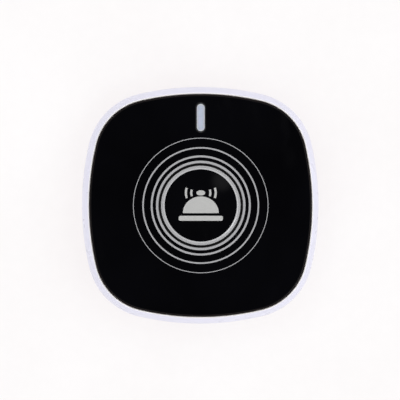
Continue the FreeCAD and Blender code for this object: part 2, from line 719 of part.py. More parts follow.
def make_chip_capacitors():
    """Taller capacitors near the chips and the antenna."""
    beside_chips = [(24.0, 0.5, False), (19.8, 0.5, False), (-18.5, 1.5, True)]
    beside_antenna = [(x, -21.5, True) for x in (13.5, 16.5, -13.5)]
    return small_parts((2.0, 1.25, 1.1), beside_chips + beside_antenna)


# ================================================================ coin cell and contacts
def make_cell_can():
    """Positive can of the coin cell: a shallow cup, its rim curled in over the sealing ring."""
    foot, curl = 0.4, 0.5
    shoulder_z = CELL_Z + CELL_H - 0.7
    inner, rim = CELL_R - CAN_T, CELL_R - CAN_T - 0.4  # the rim stands over the sealing ring
    return turned([
        (0.0, CELL_Z),
        (CELL_R - foot, CELL_Z),
        (CELL_R, CELL_Z + foot),
        (CELL_R, shoulder_z),
        (CELL_R - curl, shoulder_z + curl),
        (rim, shoulder_z + curl),
        (rim, shoulder_z),
        (inner, shoulder_z - foot),
        (inner, CELL_Z + CAN_T),
        (0.0, CELL_Z + CAN_T),
    ])


def make_cell_ring():
    """Plastic sealing ring between the can and the lid."""
    below_lid = 0.3
    inner, outer = LID_R + 0.05, LID_R + 0.4
    return tube(inner, outer, CELL_Z + CAN_T, CELL_Z + CELL_H - below_lid)


def make_cell_lid():
    """Negative lid of the coin cell, an upturned cup inside the sealing ring, filled below."""
    foot_z, top_z, edge = CELL_Z + CAN_T, CELL_Z + CELL_H, 0.4
    return turned([
        (0.0, foot_z),
        (LID_R, foot_z),
        (LID_R, top_z - edge),
        (LID_R - edge, top_z),
        (0.0, top_z),
    ])


def make_negative_contact():
    """Bent leaf from the board down to the middle of the cell's lid."""
    width, turn, curl = 4.0, 60.0, 0.6
    foot_z = BOARD_Z - CONTACT_T / 2
    touch_z = CELL_Z + CELL_H + CONTACT_T / 2
    line = [(9.0, foot_z), (5.5, foot_z), (1.2, touch_z), (-1.2, touch_z), (-2.4, touch_z + curl)]
    return bent_strip(line, CONTACT_T, width, turn)


def make_positive_contact():
    """Bent leaf from the board down beside the cell, sprung against the can's wall."""
    width, turn = 3.6, 180.0
    foot_z = BOARD_Z - CONTACT_T / 2
    touch_r = CELL_R + CONTACT_T / 2
    line = [
        (11.2, foot_z),
        (14.2, foot_z),
        (14.2, 7.6),
        (touch_r, 6.3),
        (touch_r, 5.6),
        (13.4, 4.9),
    ]
    return bent_strip(line, CONTACT_T, width, turn)


# ================================================================ battery door
def make_battery_door():
    """Bayonet door: a flush disc with a coin slot, a neck round the cell and three lugs."""
    edge_c, cell_gap, groove_w = 0.3, 0.15, 0.9
    neck_in, cup_z = CELL_R + cell_gap, CELL_Z - RUNNING_GAP
    groove_in, groove_out = SEAL_R - groove_w / 2, SEAL_R + groove_w / 2
    groove_z = DOOR_TOP_Z - SEAL_GROOVE
    lug_z = KEEPER_TOP_Z + RUNNING_GAP
    door = turned([
        (0.0, DOOR_Z),
        (DOOR_R - edge_c, DOOR_Z),
        (DOOR_R, DOOR_Z + edge_c),
        (DOOR_R, DOOR_TOP_Z),
        (groove_out, DOOR_TOP_Z),
        (groove_out, groove_z),
        (groove_in, groove_z),
        (groove_in, DOOR_TOP_Z),
        (NECK_R, DOOR_TOP_Z),
        (NECK_R, LUG_TOP_Z),
        (neck_in, LUG_TOP_Z),
        (neck_in, cup_z),
        (0.0, cup_z),
    ])
    lug = ring_sector(NECK_R - ROOT, LUG_R, lug_z, LUG_TOP_Z, LUG_SPAN, LOCK_DEG)
    door = joined(door, around(lug, BAYONETS))
    slot_w, slot_l, slot_depth = 2.2, 17.0, 0.8
    slot = pill(slot_w, slot_l, DOOR_Z - PAST, DOOR_Z + slot_depth)
    return door.cut(at_angle(slot, 90.0))


def make_door_seal():
    """Rubber ring of square section in the door's groove, lightly against the base."""
    proud = 0.09  # just short of the base shell's seat
    half = SEAL_W / 2
    return tube(SEAL_R - half, SEAL_R + half, DOOR_TOP_Z - SEAL_GROOVE, DOOR_TOP_Z + proud)


# ================================================================ the whole unit
MAKERS = (
    make_base_shell,
    make_top_shell,
    make_front_panel,
    make_panel_tape,
    make_light_guide,
    make_rubber_feet,
    make_case_screws,
    make_call_cap,
    make_return_spring,
    make_switch_body,
    make_switch_plate,
    make_switch_plunger,
    make_switch_pins,
    make_circuit_board,
    make_board_screws,
    make_signal_lamps,
    make_controller_chip,
    make_radio_chip,
    make_crystal_can,
    make_spring_antenna,
    make_chip_resistors,
    make_chip_capacitors,
    make_cell_can,
    make_cell_ring,
    make_cell_lid,
    make_negative_contact,
    make_positive_contact,
    make_battery_door,
    make_door_seal,
)


def main():
    """Write each piece to parts/NODE.step, named after the function that makes it."""
    os.makedirs("parts", exist_ok=True)
    for make in MAKERS:
        node = make.__name__.removeprefix("make_")
        shape = make()
        print(f"{node}: {len(shape.Solids)} solid(s), {shape.Volume:.1f} mm3, valid {shape.isValid()}")
        shape.exportStep(f"parts/{node}.step")


main()
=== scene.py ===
"""Looks of the waiter call button: finishes, silver print, springs, board parts and studio.

Every new piece is shaped in millimetres with bmesh operators and then placed in metres on the
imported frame. Its sizes repeat those of the solids that it stands on or stands for.
"""

import logging
import math
from collections.abc import Callable, Iterable, Mapping, Sequence
from dataclasses import dataclass
from enum import Enum
from functools import cache, reduce
from typing import ClassVar

import bmesh
import bpy
from mathutils import Matrix, Vector


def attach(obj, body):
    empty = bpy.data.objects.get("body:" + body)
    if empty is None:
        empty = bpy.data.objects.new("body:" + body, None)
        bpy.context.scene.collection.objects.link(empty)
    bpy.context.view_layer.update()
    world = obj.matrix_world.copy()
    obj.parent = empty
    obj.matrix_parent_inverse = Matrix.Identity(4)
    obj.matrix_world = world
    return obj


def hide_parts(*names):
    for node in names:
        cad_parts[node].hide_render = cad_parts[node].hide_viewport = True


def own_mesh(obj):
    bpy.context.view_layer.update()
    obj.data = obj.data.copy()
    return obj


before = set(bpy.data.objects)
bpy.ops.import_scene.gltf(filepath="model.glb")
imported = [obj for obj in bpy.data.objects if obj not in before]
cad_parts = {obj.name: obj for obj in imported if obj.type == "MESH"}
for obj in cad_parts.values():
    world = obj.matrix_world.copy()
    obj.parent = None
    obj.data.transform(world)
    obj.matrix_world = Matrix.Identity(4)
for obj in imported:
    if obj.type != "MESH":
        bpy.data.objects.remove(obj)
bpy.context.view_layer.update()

LOG = logging.getLogger("call_button")

Flat = tuple[float, float]
Point = tuple[float, float, float]
Colour = tuple[float, float, float]
Step = tuple[float, ...]
Socket = bpy.types.NodeSocket

MM = 0.001
ORIGIN: Point = (0.0, 0.0, 0.0)
UP: Point = (0.0, 0.0, 1.0)
EVEN: Point = (1.0, 1.0, 1.0)
NEAR = 1e-3  # millimetres within which points count as one, or as lying on a ring or a level
MERGE = 1e-5  # millimetres within which a spin's points are joined
CUT = 1e-6  # millimetres within which a point counts as lying on a cutting plane
SHARP = 0.2  # radians between two faces from which their edge can be rounded
FACES_UP = 0.98  # height of a face's normal below which the face belongs to an edge


class Body(Enum):
    """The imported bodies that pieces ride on."""

    CASE = "case"
    BUTTON = "call_button"
    DOOR = "door"


class Slot(Enum):
    """The record's material slots."""

    HOUSING = "housing_white"
    PANEL = "panel_black"
    CAP = "cap_black"
    INK = "silver_ink"
    WINDOW = "window_frost"
    FOOT = "foot_rubber"
    SPRING = "spring_steel"
    CONTACT = "contact_metal"
    LAMP = "lamp_clear"
    ANTENNA = "antenna_copper"
    RESISTOR = "ceramic_black"
    CAPACITOR = "ceramic_tan"


class Grain(Enum):
    """How a metal was worked: drawn along X, turned about an upright axis, or tumbled."""

    DRAWN = "drawn"
    TURNED = "turned"
    TUMBLED = "tumbled"


# ================================================================ node graphs
@dataclass(frozen=True)
class Cloud:
    """Noise: the size of its features in millimetres, its octaves, and the stretch and turn of its space."""

    size: float
    detail: float = 2.0
    stretch: Point = EVEN
    turn: float = 0.0


@dataclass(frozen=True)
class Specks:
    """Scattered round specks: the spacing of their places, their radius, and the share of places used."""

    spacing: float
    size: float
    share: float


class Nodes:
    """The node tree of a material or a world."""

    def __init__(self, owner: bpy.types.ID) -> None:
        """Starts the owner's tree empty.

        Args:
            owner: the material or the world.
        """
        owner.use_nodes = True
        self.tree = owner.node_tree
        self.tree.nodes.clear()

    def feed(self, socket: Socket, value: object) -> None:
        """Links another node's socket to this one, or sets a number, point or colour on it.

        Args:
            socket: the input to feed.
            value: a socket, a number, or three numbers.
        """
        if isinstance(value, Socket):
            self.tree.links.new(value, socket)
        elif socket.type == "RGBA":
            socket.default_value = (*value, 1.0)
        else:
            socket.default_value = value

    def add(
        self, kind: str, fed: Mapping[str | int, object] | None = None, **settings: object
    ) -> bpy.types.Node:
        """Adds a node.

        Args:
            kind: the node's Blender type.
            fed: what its inputs get, by their name or number.
            settings: properties of the node to set.

        Returns:
            The new node.
        """
        node = self.tree.nodes.new(kind)
        for key, value in settings.items():
            setattr(node, key, value)
        for key, value in (fed or {}).items():
            self.feed(node.inputs[key], value)
        return node

    def maths(self, operation: str, *values: object) -> Socket:
        """Adds a Math node with these inputs and returns its result."""
        return self.add("ShaderNodeMath", dict(enumerate(values)), operation=operation).outputs[0]

    def times(self, *values: object) -> Socket:
        """Multiplies sockets and numbers."""
        return reduce(lambda product, value: self.maths("MULTIPLY", product, value), values)

    def plus(self, *values: object) -> Socket:
        """Adds up sockets and numbers."""
        return reduce(lambda total, value: self.maths("ADD", total, value), values)

    def minus(self, value: object, less: object) -> Socket:
        """Takes the second from the first."""
        return self.maths("SUBTRACT", value, less)

    def ramp(self, value: object, low: float, high: float, start: float = 0.0, end: float = 1.0) -> Socket:
        """Smooth step between two values.

        Args:
            value: what is measured.
            low: where the step begins; it may lie above high.
            high: where it ends.
            start: result before the step.
            end: result after it.

        Returns:
            The stepped value.
        """
        if low > high:
            low, high, start, end = high, low, end, start
        fed = {"Value": value, "From Min": low, "From Max": high, "To Min": start, "To Max": end}
        return self.add("ShaderNodeMapRange", fed, interpolation_type="SMOOTHSTEP", clamp=True).outputs[0]


class Graph(Nodes):
    """The nodes of one material, with Object coordinates read in millimetres."""

    drift_step: Flat = (0.25, 0.75)
    sway_step: Flat = (0.3, 0.7)

    def __init__(self, name: str) -> None:
        """Starts a material with one Principled shader.

        Args:
            name: the material's name.
        """
        self.material = bpy.data.materials.new(name)
        super().__init__(self.material)
        self.shader = self.add("ShaderNodeBsdfPrincipled")
        self.add("ShaderNodeOutputMaterial", {"Surface": self.shader.outputs["BSDF"]})
        self.object_place = self.add("ShaderNodeTexCoord").outputs["Object"]

    def set(self, **values: object) -> None:
        """Feeds the shader's inputs, named with underscores for spaces."""
        for name, value in values.items():
            self.feed(self.shader.inputs[name.replace("_", " ")], value)

    def spot(self, centre: Point = ORIGIN, stretch: Point = EVEN, turn: float = 0.0) -> Socket:
        """Places a pattern on the piece.

        Args:
            centre: the pattern's origin in millimetres.
            stretch: scale of the pattern's space along each axis.
            turn: degrees about Z.

        Returns:
            Coordinates in millimetres from that centre.
        """
        fed = {"Vector": self.object_place, "Location": tuple(-c for c in centre), "Scale": (1 / MM,) * 3}
        about = self.add("ShaderNodeMapping", fed, vector_type="POINT").outputs[0]
        fed = {"Vector": about, "Rotation": (0.0, 0.0, math.radians(turn)), "Scale": stretch}
        return self.add("ShaderNodeMapping", fed, vector_type="POINT").outputs[0]

    def axes(self, vector: Socket) -> tuple[Socket, ...]:
        """Splits coordinates into X, Y and Z."""
        return tuple(self.add("ShaderNodeSeparateXYZ", {0: vector}).outputs)

    def length(self, across: Socket, along: Socket) -> Socket:
        """Length of a flat vector."""
        return self.maths("SQRT", self.maths("MULTIPLY_ADD", across, across, self.times(along, along)))

    def radius(self, centre: Point = ORIGIN) -> Socket:
        """Distance in millimetres from the upright axis through a point."""
        return self.length(*self.axes(self.spot(centre))[:2])

    def height(self) -> Socket:
        """The height above the table in millimetres."""
        return self.axes(self.spot())[2]

    def noise(self, cloud: Cloud) -> Socket:
        """Draws a cloud.

        Args:
            cloud: its sizes.

        Returns:
            A value about 0.5.
        """
        place = self.spot(stretch=cloud.stretch, turn=cloud.turn)
        fed = {"Vector": place, "Scale": 1 / cloud.size, "Detail": cloud.detail}
        return self.add("ShaderNodeTexNoise", fed).outputs[0]

    def scattered(self, specks: Specks) -> Socket:
        """Draws specks.

        Args:
            specks: their spacing, size and share.

        Returns:
            1 on a speck and 0 elsewhere.
        """
        cells = self.add("ShaderNodeTexVoronoi", {"Vector": self.spot(), "Scale": 1 / specks.spacing})
        size = specks.size / specks.spacing
        near = self.ramp(cells.outputs["Distance"], size, 0.5 * size)
        return self.times(near, self.maths("LESS_THAN", self.axes(cells.outputs["Color"])[0], specks.share))

    def band(self, value: object, low: float, high: float, soft: float) -> Socket:
        """1 between two values, 0 outside, with flanks of a soft width."""
        return self.times(self.ramp(value, low - soft, low), self.ramp(value, high + soft, high))

    def blend(self, share: object, first: object, second: object) -> Socket:
        """Mixes a share of the second colour into the first."""
        return self.add("ShaderNodeMix", {0: share, 6: first, 7: second}, data_type="RGBA").outputs[2]

    def drift(self, colour: Colour, share: float, cloud: Socket) -> Socket:
        """A colour that gets darker and lighter by a share, with a cloud."""
        dark, light = (tuple(c * (1 + way * share) for c in colour) for way in (-1, 1))
        return self.blend(self.ramp(cloud, *self.drift_step), dark, light)

    def sway(self, cloud: Socket, middle: float, down: float, up: float) -> Socket:
        """A number that goes down and up about its middle, with a cloud."""
        return self.ramp(cloud, *self.sway_step, middle - down, middle + up)

    def relief(self, height: Socket, depth: float, strength: float) -> Socket:
        """Bump from a height of 0 to 1 that is this many millimetres deep."""
        fed = {"Height": height, "Distance": depth * MM, "Strength": strength}
        return self.add("ShaderNodeBump", fed).outputs[0]


# ================================================================ outline
@dataclass(frozen=True)
class RoundedSquare:
    """A square whose four sides are shallow arcs and whose four corners are tight ones, tangent to them."""

    half: float
    side_radius: float
    corner_radius: float

    @property
    def reach(self) -> float:
        """How far past the middle the centre of a side's arc lies."""
        return self.side_radius - self.half

    @property
    def span(self) -> float:
        """From the centre of a side's arc to the centre of a corner's arc."""
        return self.side_radius - self.corner_radius

    @property
    def corner(self) -> float:
        """Both coordinates of the centre of a corner's arc."""
        return (math.sqrt(2 * self.span**2 - self.reach**2) - self.reach) / 2

    @property
    def turn(self) -> float:
        """The angle, in radians, from a side's middle to where its corner begins."""
        return math.asin(self.corner / self.span)

    def distance(self, graph: Graph) -> Socket:
        """How far outside the outline a point lies.

        Args:
            graph: the nodes of the material that asks.

        Returns:
            The distance's socket, negative inside the outline.
        """
        x, y = (graph.maths("ABSOLUTE", axis) for axis in graph.axes(graph.spot())[:2])
        sides = [
            graph.minus(graph.length(graph.plus(along, self.reach), across), self.side_radius)
            for along, across in ((x, y), (y, x))
        ]
        side = graph.maths("MAXIMUM", *sides)
        right, up = graph.minus(x, self.corner), graph.minus(y, self.corner)
        round_off = graph.minus(graph.length(right, up), self.corner_radius)
        lower, higher = graph.maths("MINIMUM", right, up), graph.maths("MAXIMUM", right, up)
        in_corner = graph.times(
            graph.maths("GREATER_THAN", lower, graph.times(higher, math.tan(self.turn))),
            graph.maths("GREATER_THAN", lower, 0.0),
        )
        return graph.maths("MULTIPLY_ADD", in_corner, graph.minus(round_off, side), side)


PANEL_OUTLINE = RoundedSquare(38.0, 90.0, 20.0)


# ================================================================ finishes
@dataclass(frozen=True)
class Finish:
    """A finish with its colour in linear light. Its clouds and steps give sizes in millimetres."""

    name: str
    colour: Colour
    roughness: float

    @cache
    def make(self) -> bpy.types.Material:
        """Makes the finish's material, once.

        Returns:
            The material.
        """
        graph = Graph(self.name)
        self.work(graph)
        return graph.material

    def work(self, graph: Graph) -> None:
        """Lays out the nodes in the material's graph."""
        raise NotImplementedError


@dataclass(frozen=True)
class MouldedPlastic(Finish):
    """Injection-moulded plastic: fine spark grain, faint flow marks, scuffs where it is held, and, with an
    outline, a painted highlight along the lip beside it.
    """

    shade: Cloud = Cloud(16.0, 3.0)
    shade_share: float = 0.02
    flow: Cloud = Cloud(5.0, 2.0, (0.3, 1.0, 1.0), 24.0)
    flow_rough: float = 0.03
    grain: Cloud = Cloud(0.28, 1.0)
    grain_depth: float = 0.003
    grain_strength: float = 0.4
    shine: float = 0.5
    streak: Cloud = Cloud(0.16, 1.0, (0.05, 0.05, 1.0), 38.0)
    streak_step: Flat = (0.68, 0.76)
    held: Flat = (2.5, 5.0)
    held_soft: float = 1.5
    scuff_colour: Colour = (0.52, 0.52, 0.56)
    scuff_share: float = 0.05
    scuff_rough: float = 0.4
    # a cream line painted just outside this outline: a painted highlight on the lip
    lip_highlight_outline: RoundedSquare | None = None
    lip_highlight_step: Flat = (0.8, 0.25)
    lip_highlight_colour: Colour = (0.905, 0.88, 0.865)

    def work(self, graph: Graph) -> None:
        """Mixes drift, scuffs and grain.

        Args:
            graph: the material's nodes.
        """
        streaks = graph.ramp(graph.noise(self.streak), *self.streak_step)
        handled = graph.band(graph.height(), *self.held, self.held_soft)
        scuffs = graph.times(streaks, handled, self.scuff_share)
        base = graph.drift(self.colour, self.shade_share, graph.noise(self.shade))
        # painted highlight: cream colour on the lip right beside the panel's outline
        if self.lip_highlight_outline:
            base = graph.blend(graph.ramp(self.lip_highlight_outline.distance(graph), *self.lip_highlight_step), base, self.lip_highlight_colour)
        rough = graph.sway(graph.noise(self.flow), self.roughness, self.flow_rough, self.flow_rough)
        graph.set(
            Base_Color=graph.blend(scuffs, base, self.scuff_colour),
            Roughness=graph.plus(rough, graph.times(scuffs, self.scuff_rough)),
            Normal=graph.relief(graph.noise(self.grain), self.grain_depth, self.grain_strength),
            Specular_IOR_Level=self.shine,
        )


@dataclass(frozen=True)
class GlossSheet(Finish):
    """Glossy black sheet or cap: wiped smears, hairlines and a little dust."""

    shine: float = 0.3
    wear: float = 0.0
    wear_step: Flat = (9.0, 2.0)
    tint: Cloud = Cloud(22.0)
    tint_share: float = 0.2
    smear: Cloud = Cloud(7.0, 5.0, (1.0, 0.45, 1.0), 62.0)
    smear_step: Flat = (0.5, 0.75)
    smear_rough: float = 0.09
    hairline: Cloud = Cloud(0.35, 2.0, (0.03, 1.0, 1.0), 33.0)
    hairline_step: Flat = (0.66, 0.70)
    hairline_depth: float = 0.0012
    hairline_strength: float = 0.35
    dust: Specks = Specks(4.2, 0.13, 0.10)
    dust_colour: Colour = (0.16, 0.16, 0.165)
    dust_rough: float = 0.6

    def work(self, graph: Graph) -> None:
        """Mixes smears, hairlines and dust.

        Args:
            graph: the material's nodes.
        """
        smears = graph.ramp(graph.noise(self.smear), *self.smear_step)
        hairlines = graph.ramp(graph.noise(self.hairline), *self.hairline_step)
        dust = graph.scattered(self.dust)
        touched = graph.ramp(graph.radius(), *self.wear_step, 0.0, self.wear)
        smeared = graph.ramp(smears, 0.0, 1.0, self.roughness, self.roughness + self.smear_rough)
        base = graph.drift(self.colour, self.tint_share, graph.noise(self.tint))
        graph.set(
            Base_Color=graph.blend(dust, base, self.dust_colour),
            Roughness=graph.plus(smeared, touched, graph.times(dust, self.dust_rough)),
            Normal=graph.relief(hairlines, self.hairline_depth, self.hairline_strength),
            Specular_IOR_Level=self.shine,
        )


@dataclass(frozen=True)
class SilverInk(Finish):
    """Screen-printed silver-grey ink: fine flakes and the faint mesh of the screen.

    Where the ink runs over a step, crest is the radius of the step's foot. The ink inside it is smoother and
    painted a little lighter than the ink past it, a painted highlight on the step, and a darker line along
    the foot is painted shade of its crease.
    """

    flake: Cloud = Cloud(0.09, 1.0)
    flake_tones: Flat = (0.92, 1.08)
    flake_rough: float = 0.08
    flake_depth: float = 0.004
    flake_strength: float = 0.35
    metal: float = 0.25
    mesh_turns: Flat = (33.0, -57.0)
    mesh_mix: float = 0.7
    mesh_pitch: float = 0.62
    mesh_share: float = 0.025
    crest: float = 0.0
    # painted highlight of the step and painted shade of the crease at its foot
    painted_highlight_step: Step = (0.1, -0.1, -0.02, 0.0)
    crease_shade_step: Step = (0.22, 0.05, 0.0, 0.10)
    smooth_step: Step = (0.05, -0.05, 0.0, 0.22)

    def work(self, graph: Graph) -> None:
        """Mixes flakes and mesh.

        Args:
            graph: the material's nodes.
        """
        flakes = graph.noise(self.flake)
        lines = []
        for turn in self.mesh_turns:
            x = graph.axes(graph.spot(turn=turn))[0]
            lines.append(graph.maths("SINE", graph.times(x, 2 * math.pi / self.mesh_pitch)))
        mesh = graph.times(graph.maths("MULTIPLY_ADD", lines[0], self.mesh_mix, lines[1]), self.mesh_share)
        shade = graph.plus(graph.ramp(flakes, *graph.sway_step, *self.flake_tones), mesh)
        rough = graph.sway(flakes, self.roughness, self.flake_rough, self.flake_rough)
        if self.crest:
            past = graph.minus(graph.radius(), self.crest)
            # painted highlight: ink inside the crest a little lighter than past it; painted shade: a darker
            # line along the crease at the foot
            line = graph.ramp(graph.maths("ABSOLUTE", past), *self.crease_shade_step)
            shade = graph.plus(shade, graph.minus(graph.ramp(past, *self.painted_highlight_step), line))
            rough = graph.minus(rough, graph.ramp(past, *self.smooth_step))
        tone = graph.add("ShaderNodeVectorMath", {0: self.colour, "Scale": shade}, operation="SCALE")
        graph.set(
            Base_Color=tone.outputs[0],
            Metallic=self.metal,
            Roughness=rough,
            Normal=graph.relief(flakes, self.flake_depth, self.flake_strength),
        )


@dataclass(frozen=True)
class FrostedWindow(Finish):
    """Frosted light guide: a bluish core, a thin line, a paler border, and a rim masked black."""

    centre: Point = (0.0, 30.0, 0.0)
    clear: Flat = (2.66, 9.28)
    mask_soft: float = 0.02
    mask_colour: Colour = (0.0016, 0.0016, 0.0022)
    core_half: Flat = (0.84, 4.02)
    core_round: float = 0.35
    core_soft: float = 0.06
    core_colour: Colour = (0.395, 0.43, 0.525)
    line_half: float = 0.05
    line_soft: float = 0.07
    line_share: float = 0.75
    line_colour: Colour = (0.33, 0.345, 0.43)
    tip_step: Step = (3.8, 4.7, 0.0, 0.6)
    tip_colour: Colour = (0.49, 0.50, 0.51)
    cloud: Cloud = Cloud(1.3, 3.0)
    cloud_share: float = 0.03
    cloud_rough: Flat = (0.06, 0.08)
    frost: Cloud = Cloud(0.07, 1.0)
    frost_depth: float = 0.004
    frost_strength: float = 0.4
    depth_share: float = 0.12
    depth: float = 0.8

    def core_distance(self, graph: Graph, x: Socket, y: Socket) -> Socket:
        """How far outside the core a point lies.

        Args:
            graph: the material's nodes.
            x: the point's distance from the core's middle line.
            y: its distance from the core's middle along that line.

        Returns:
            The distance's socket, negative inside the core.
        """
        across = graph.minus(x, self.core_half[0] - self.core_round)
        along = graph.minus(y, self.core_half[1] - self.core_round)
        corner = graph.length(graph.maths("MAXIMUM", across, 0.0), graph.maths("MAXIMUM", along, 0.0))
        inner = graph.maths("MINIMUM", graph.maths("MAXIMUM", across, along), 0.0)
        return graph.minus(graph.plus(corner, inner), self.core_round)

    def work(self, graph: Graph) -> None:
        """Draws the core seen through the frosting.

        Args:
            graph: the material's nodes.
        """
        x, y = (graph.maths("ABSOLUTE", axis) for axis in graph.axes(graph.spot(self.centre))[:2])
        distance = self.core_distance(graph, x, y)
        core = graph.ramp(distance, self.core_soft, -self.core_soft)
        line = graph.band(graph.maths("ABSOLUTE", distance), -1.0, self.line_half, self.line_soft)
        cloud = graph.noise(self.cloud)
        border = graph.drift(self.colour, self.cloud_share, cloud)
        border = graph.blend(graph.ramp(y, *self.tip_step), border, self.tip_colour)
        face = graph.blend(core, border, graph.drift(self.core_colour, self.cloud_share, cloud))
        face = graph.blend(graph.times(line, self.line_share), face, self.line_colour)
        rim = self.clear[0] / 2
        past_end = graph.maths("MAXIMUM", graph.minus(y, self.clear[1] / 2 - rim), 0.0)
        mask = graph.ramp(graph.length(x, past_end), rim - self.mask_soft, rim + self.mask_soft)
        graph.set(
            Base_Color=graph.blend(mask, face, self.mask_colour),
            Roughness=graph.sway(cloud, self.roughness, *self.cloud_rough),
            Normal=graph.relief(graph.noise(self.frost), self.frost_depth, self.frost_strength),
            Subsurface_Weight=self.depth_share,
            Subsurface_Scale=self.depth * MM,
        )


@dataclass(frozen=True)
class SoftRubber(Finish):
    """Matt rubber with a dry bloom and the odd fleck of lint."""

    cloud: Cloud = Cloud(2.6, 4.0)
    cloud_rough: float = 0.1
    bloom_step: Step = (0.45, 0.8, 0.0, 0.35)
    bloom_colour: Colour = (0.16, 0.16, 0.165)
    lint: Specks = Specks(1.4, 0.09, 0.2)
    lint_share: float = 0.5
    lint_colour: Colour = (0.3, 0.3, 0.29)
    skin: Cloud = Cloud(0.22, 2.0)
    skin_depth: float = 0.02
    skin_strength: float = 0.6
    shine: float = 0.35

    def work(self, graph: Graph) -> None:
        """Mixes bloom and lint.

        Args:
            graph: the material's nodes.
        """
        cloud = graph.noise(self.cloud)
        bloomed = graph.blend(graph.ramp(cloud, *self.bloom_step), self.colour, self.bloom_colour)
        lint = graph.times(graph.scattered(self.lint), self.lint_share)
        graph.set(
            Base_Color=graph.blend(lint, bloomed, self.lint_colour),
            Roughness=graph.sway(cloud, self.roughness, self.cloud_rough, self.cloud_rough),
            Normal=graph.relief(graph.noise(self.skin), self.skin_depth, self.skin_strength),
            Specular_IOR_Level=self.shine,
        )


@dataclass(frozen=True)
class WorkedMetal(Finish):
    """Bare or plated metal with the grain of how it was worked and a slight tarnish."""

    grain: Grain = Grain.TUMBLED
    drawn: Cloud = Cloud(0.12, 3.0, (0.04, 1.0, 1.0))
    tumbled: Cloud = Cloud(0.25, 3.0)
    turned_per_mm: float = 14.0
    mark_share: float = 0.08
    mark_rough: Flat = (0.07, 0.09)
    mark_depth: float = 0.006
    mark_strength: float = 0.45
    tarnish: Colour = (0.30, 0.27, 0.22)
    tarnish_cloud: Cloud = Cloud(1.9, 5.0)
    tarnish_step: Step = (0.58, 0.80, 0.0, 0.25)
    tarnish_rough: float = 0.35

    def work(self, graph: Graph) -> None:
        """Mixes the grain and the tarnish.

        Args:
            graph: the material's nodes.
        """
        if self.grain is Grain.TURNED:
            fed = {"W": graph.radius(), "Scale": self.turned_per_mm}
            marks = graph.add("ShaderNodeTexNoise", fed, noise_dimensions="1D").outputs[0]
        else:
            marks = graph.noise(self.drawn if self.grain is Grain.DRAWN else self.tumbled)
        spots = graph.ramp(graph.noise(self.tarnish_cloud), *self.tarnish_step)
        rough = graph.sway(marks, self.roughness, *self.mark_rough)
        graph.set(
            Base_Color=graph.blend(spots, graph.drift(self.colour, self.mark_share, marks), self.tarnish),
            Metallic=1.0,
            Roughness=graph.plus(rough, graph.times(spots, self.tarnish_rough)),
            Normal=graph.relief(marks, self.mark_depth, self.mark_strength),
        )


@dataclass(frozen=True)
class BoardLaminate(Finish):
    """Green solder mask over copper tracks, with the bare laminate at the board's edge."""

    mask: Cloud = Cloud(6.0, 3.0)
    mask_share: float = 0.12
    mask_rough: float = 0.06
    block_scale: Point = (0.19, 0.23, 0.0)
    track_colour: Colour = (0.022, 0.15, 0.052)
    track_pitch: float = 0.5
    track_edge: Flat = (0.4, 0.3)
    track_share: float = 0.5
    track_mix: float = 7.0
    track_depth: float = 0.03
    track_strength: float = 0.7
    laminate: Colour = (0.42, 0.36, 0.19)
    weave: Cloud = Cloud(0.3, 2.0, (1.0, 1.0, 4.0))
    weave_share: float = 0.15
    edge: Flat = (9.73, 10.67)
    edge_soft: float = 0.01
    edge_rough: float = 0.35

    def tracks(self, graph: Graph, x: Socket, y: Socket) -> Socket:
        """Draws the tracks in blocks that run one way or the other.

        Args:
            graph: the material's nodes.
            x: the coordinate along the board.
            y: the coordinate across it.

        Returns:
            1 on a track and 0 beside it.
        """
        place = graph.spot(stretch=self.block_scale)
        cell = graph.add("ShaderNodeVectorMath", {0: place}, operation="FLOOR").outputs[0]
        block = graph.add("ShaderNodeTexWhiteNoise", {"Vector": cell}, noise_dimensions="2D").outputs["Value"]
        along, across = (graph.maths("PINGPONG", value, self.track_pitch) for value in (x, y))
        fed = {0: graph.maths("GREATER_THAN", block, 0.5), 2: along, 3: across}
        run = graph.add("ShaderNodeMix", fed, data_type="FLOAT").outputs[0]
        tracks = graph.ramp(run, *(share * self.track_pitch for share in self.track_edge))
        lot = graph.maths("FRACT", graph.times(block, self.track_mix))
        return graph.times(tracks, graph.maths("LESS_THAN", lot, self.track_share))

    def work(self, graph: Graph) -> None:
        """Mixes the mask, its tracks and the bare edge.

        Args:
            graph: the material's nodes.
        """
        x, y, z = graph.axes(graph.spot())
        tracks = self.tracks(graph, x, y)
        edge = graph.band(z, *self.edge, self.edge_soft)
        weave = graph.noise(self.weave)
        face = graph.drift(self.colour, self.mask_share, graph.noise(self.mask))
        face = graph.blend(tracks, face, self.track_colour)
        rough = graph.sway(weave, self.roughness, self.mask_rough, self.mask_rough)
        graph.set(
            Base_Color=graph.blend(edge, face, graph.drift(self.laminate, self.weave_share, weave)),
            Roughness=graph.plus(rough, graph.times(edge, self.edge_rough)),
            Normal=graph.relief(tracks, self.track_depth, self.track_strength),
        )


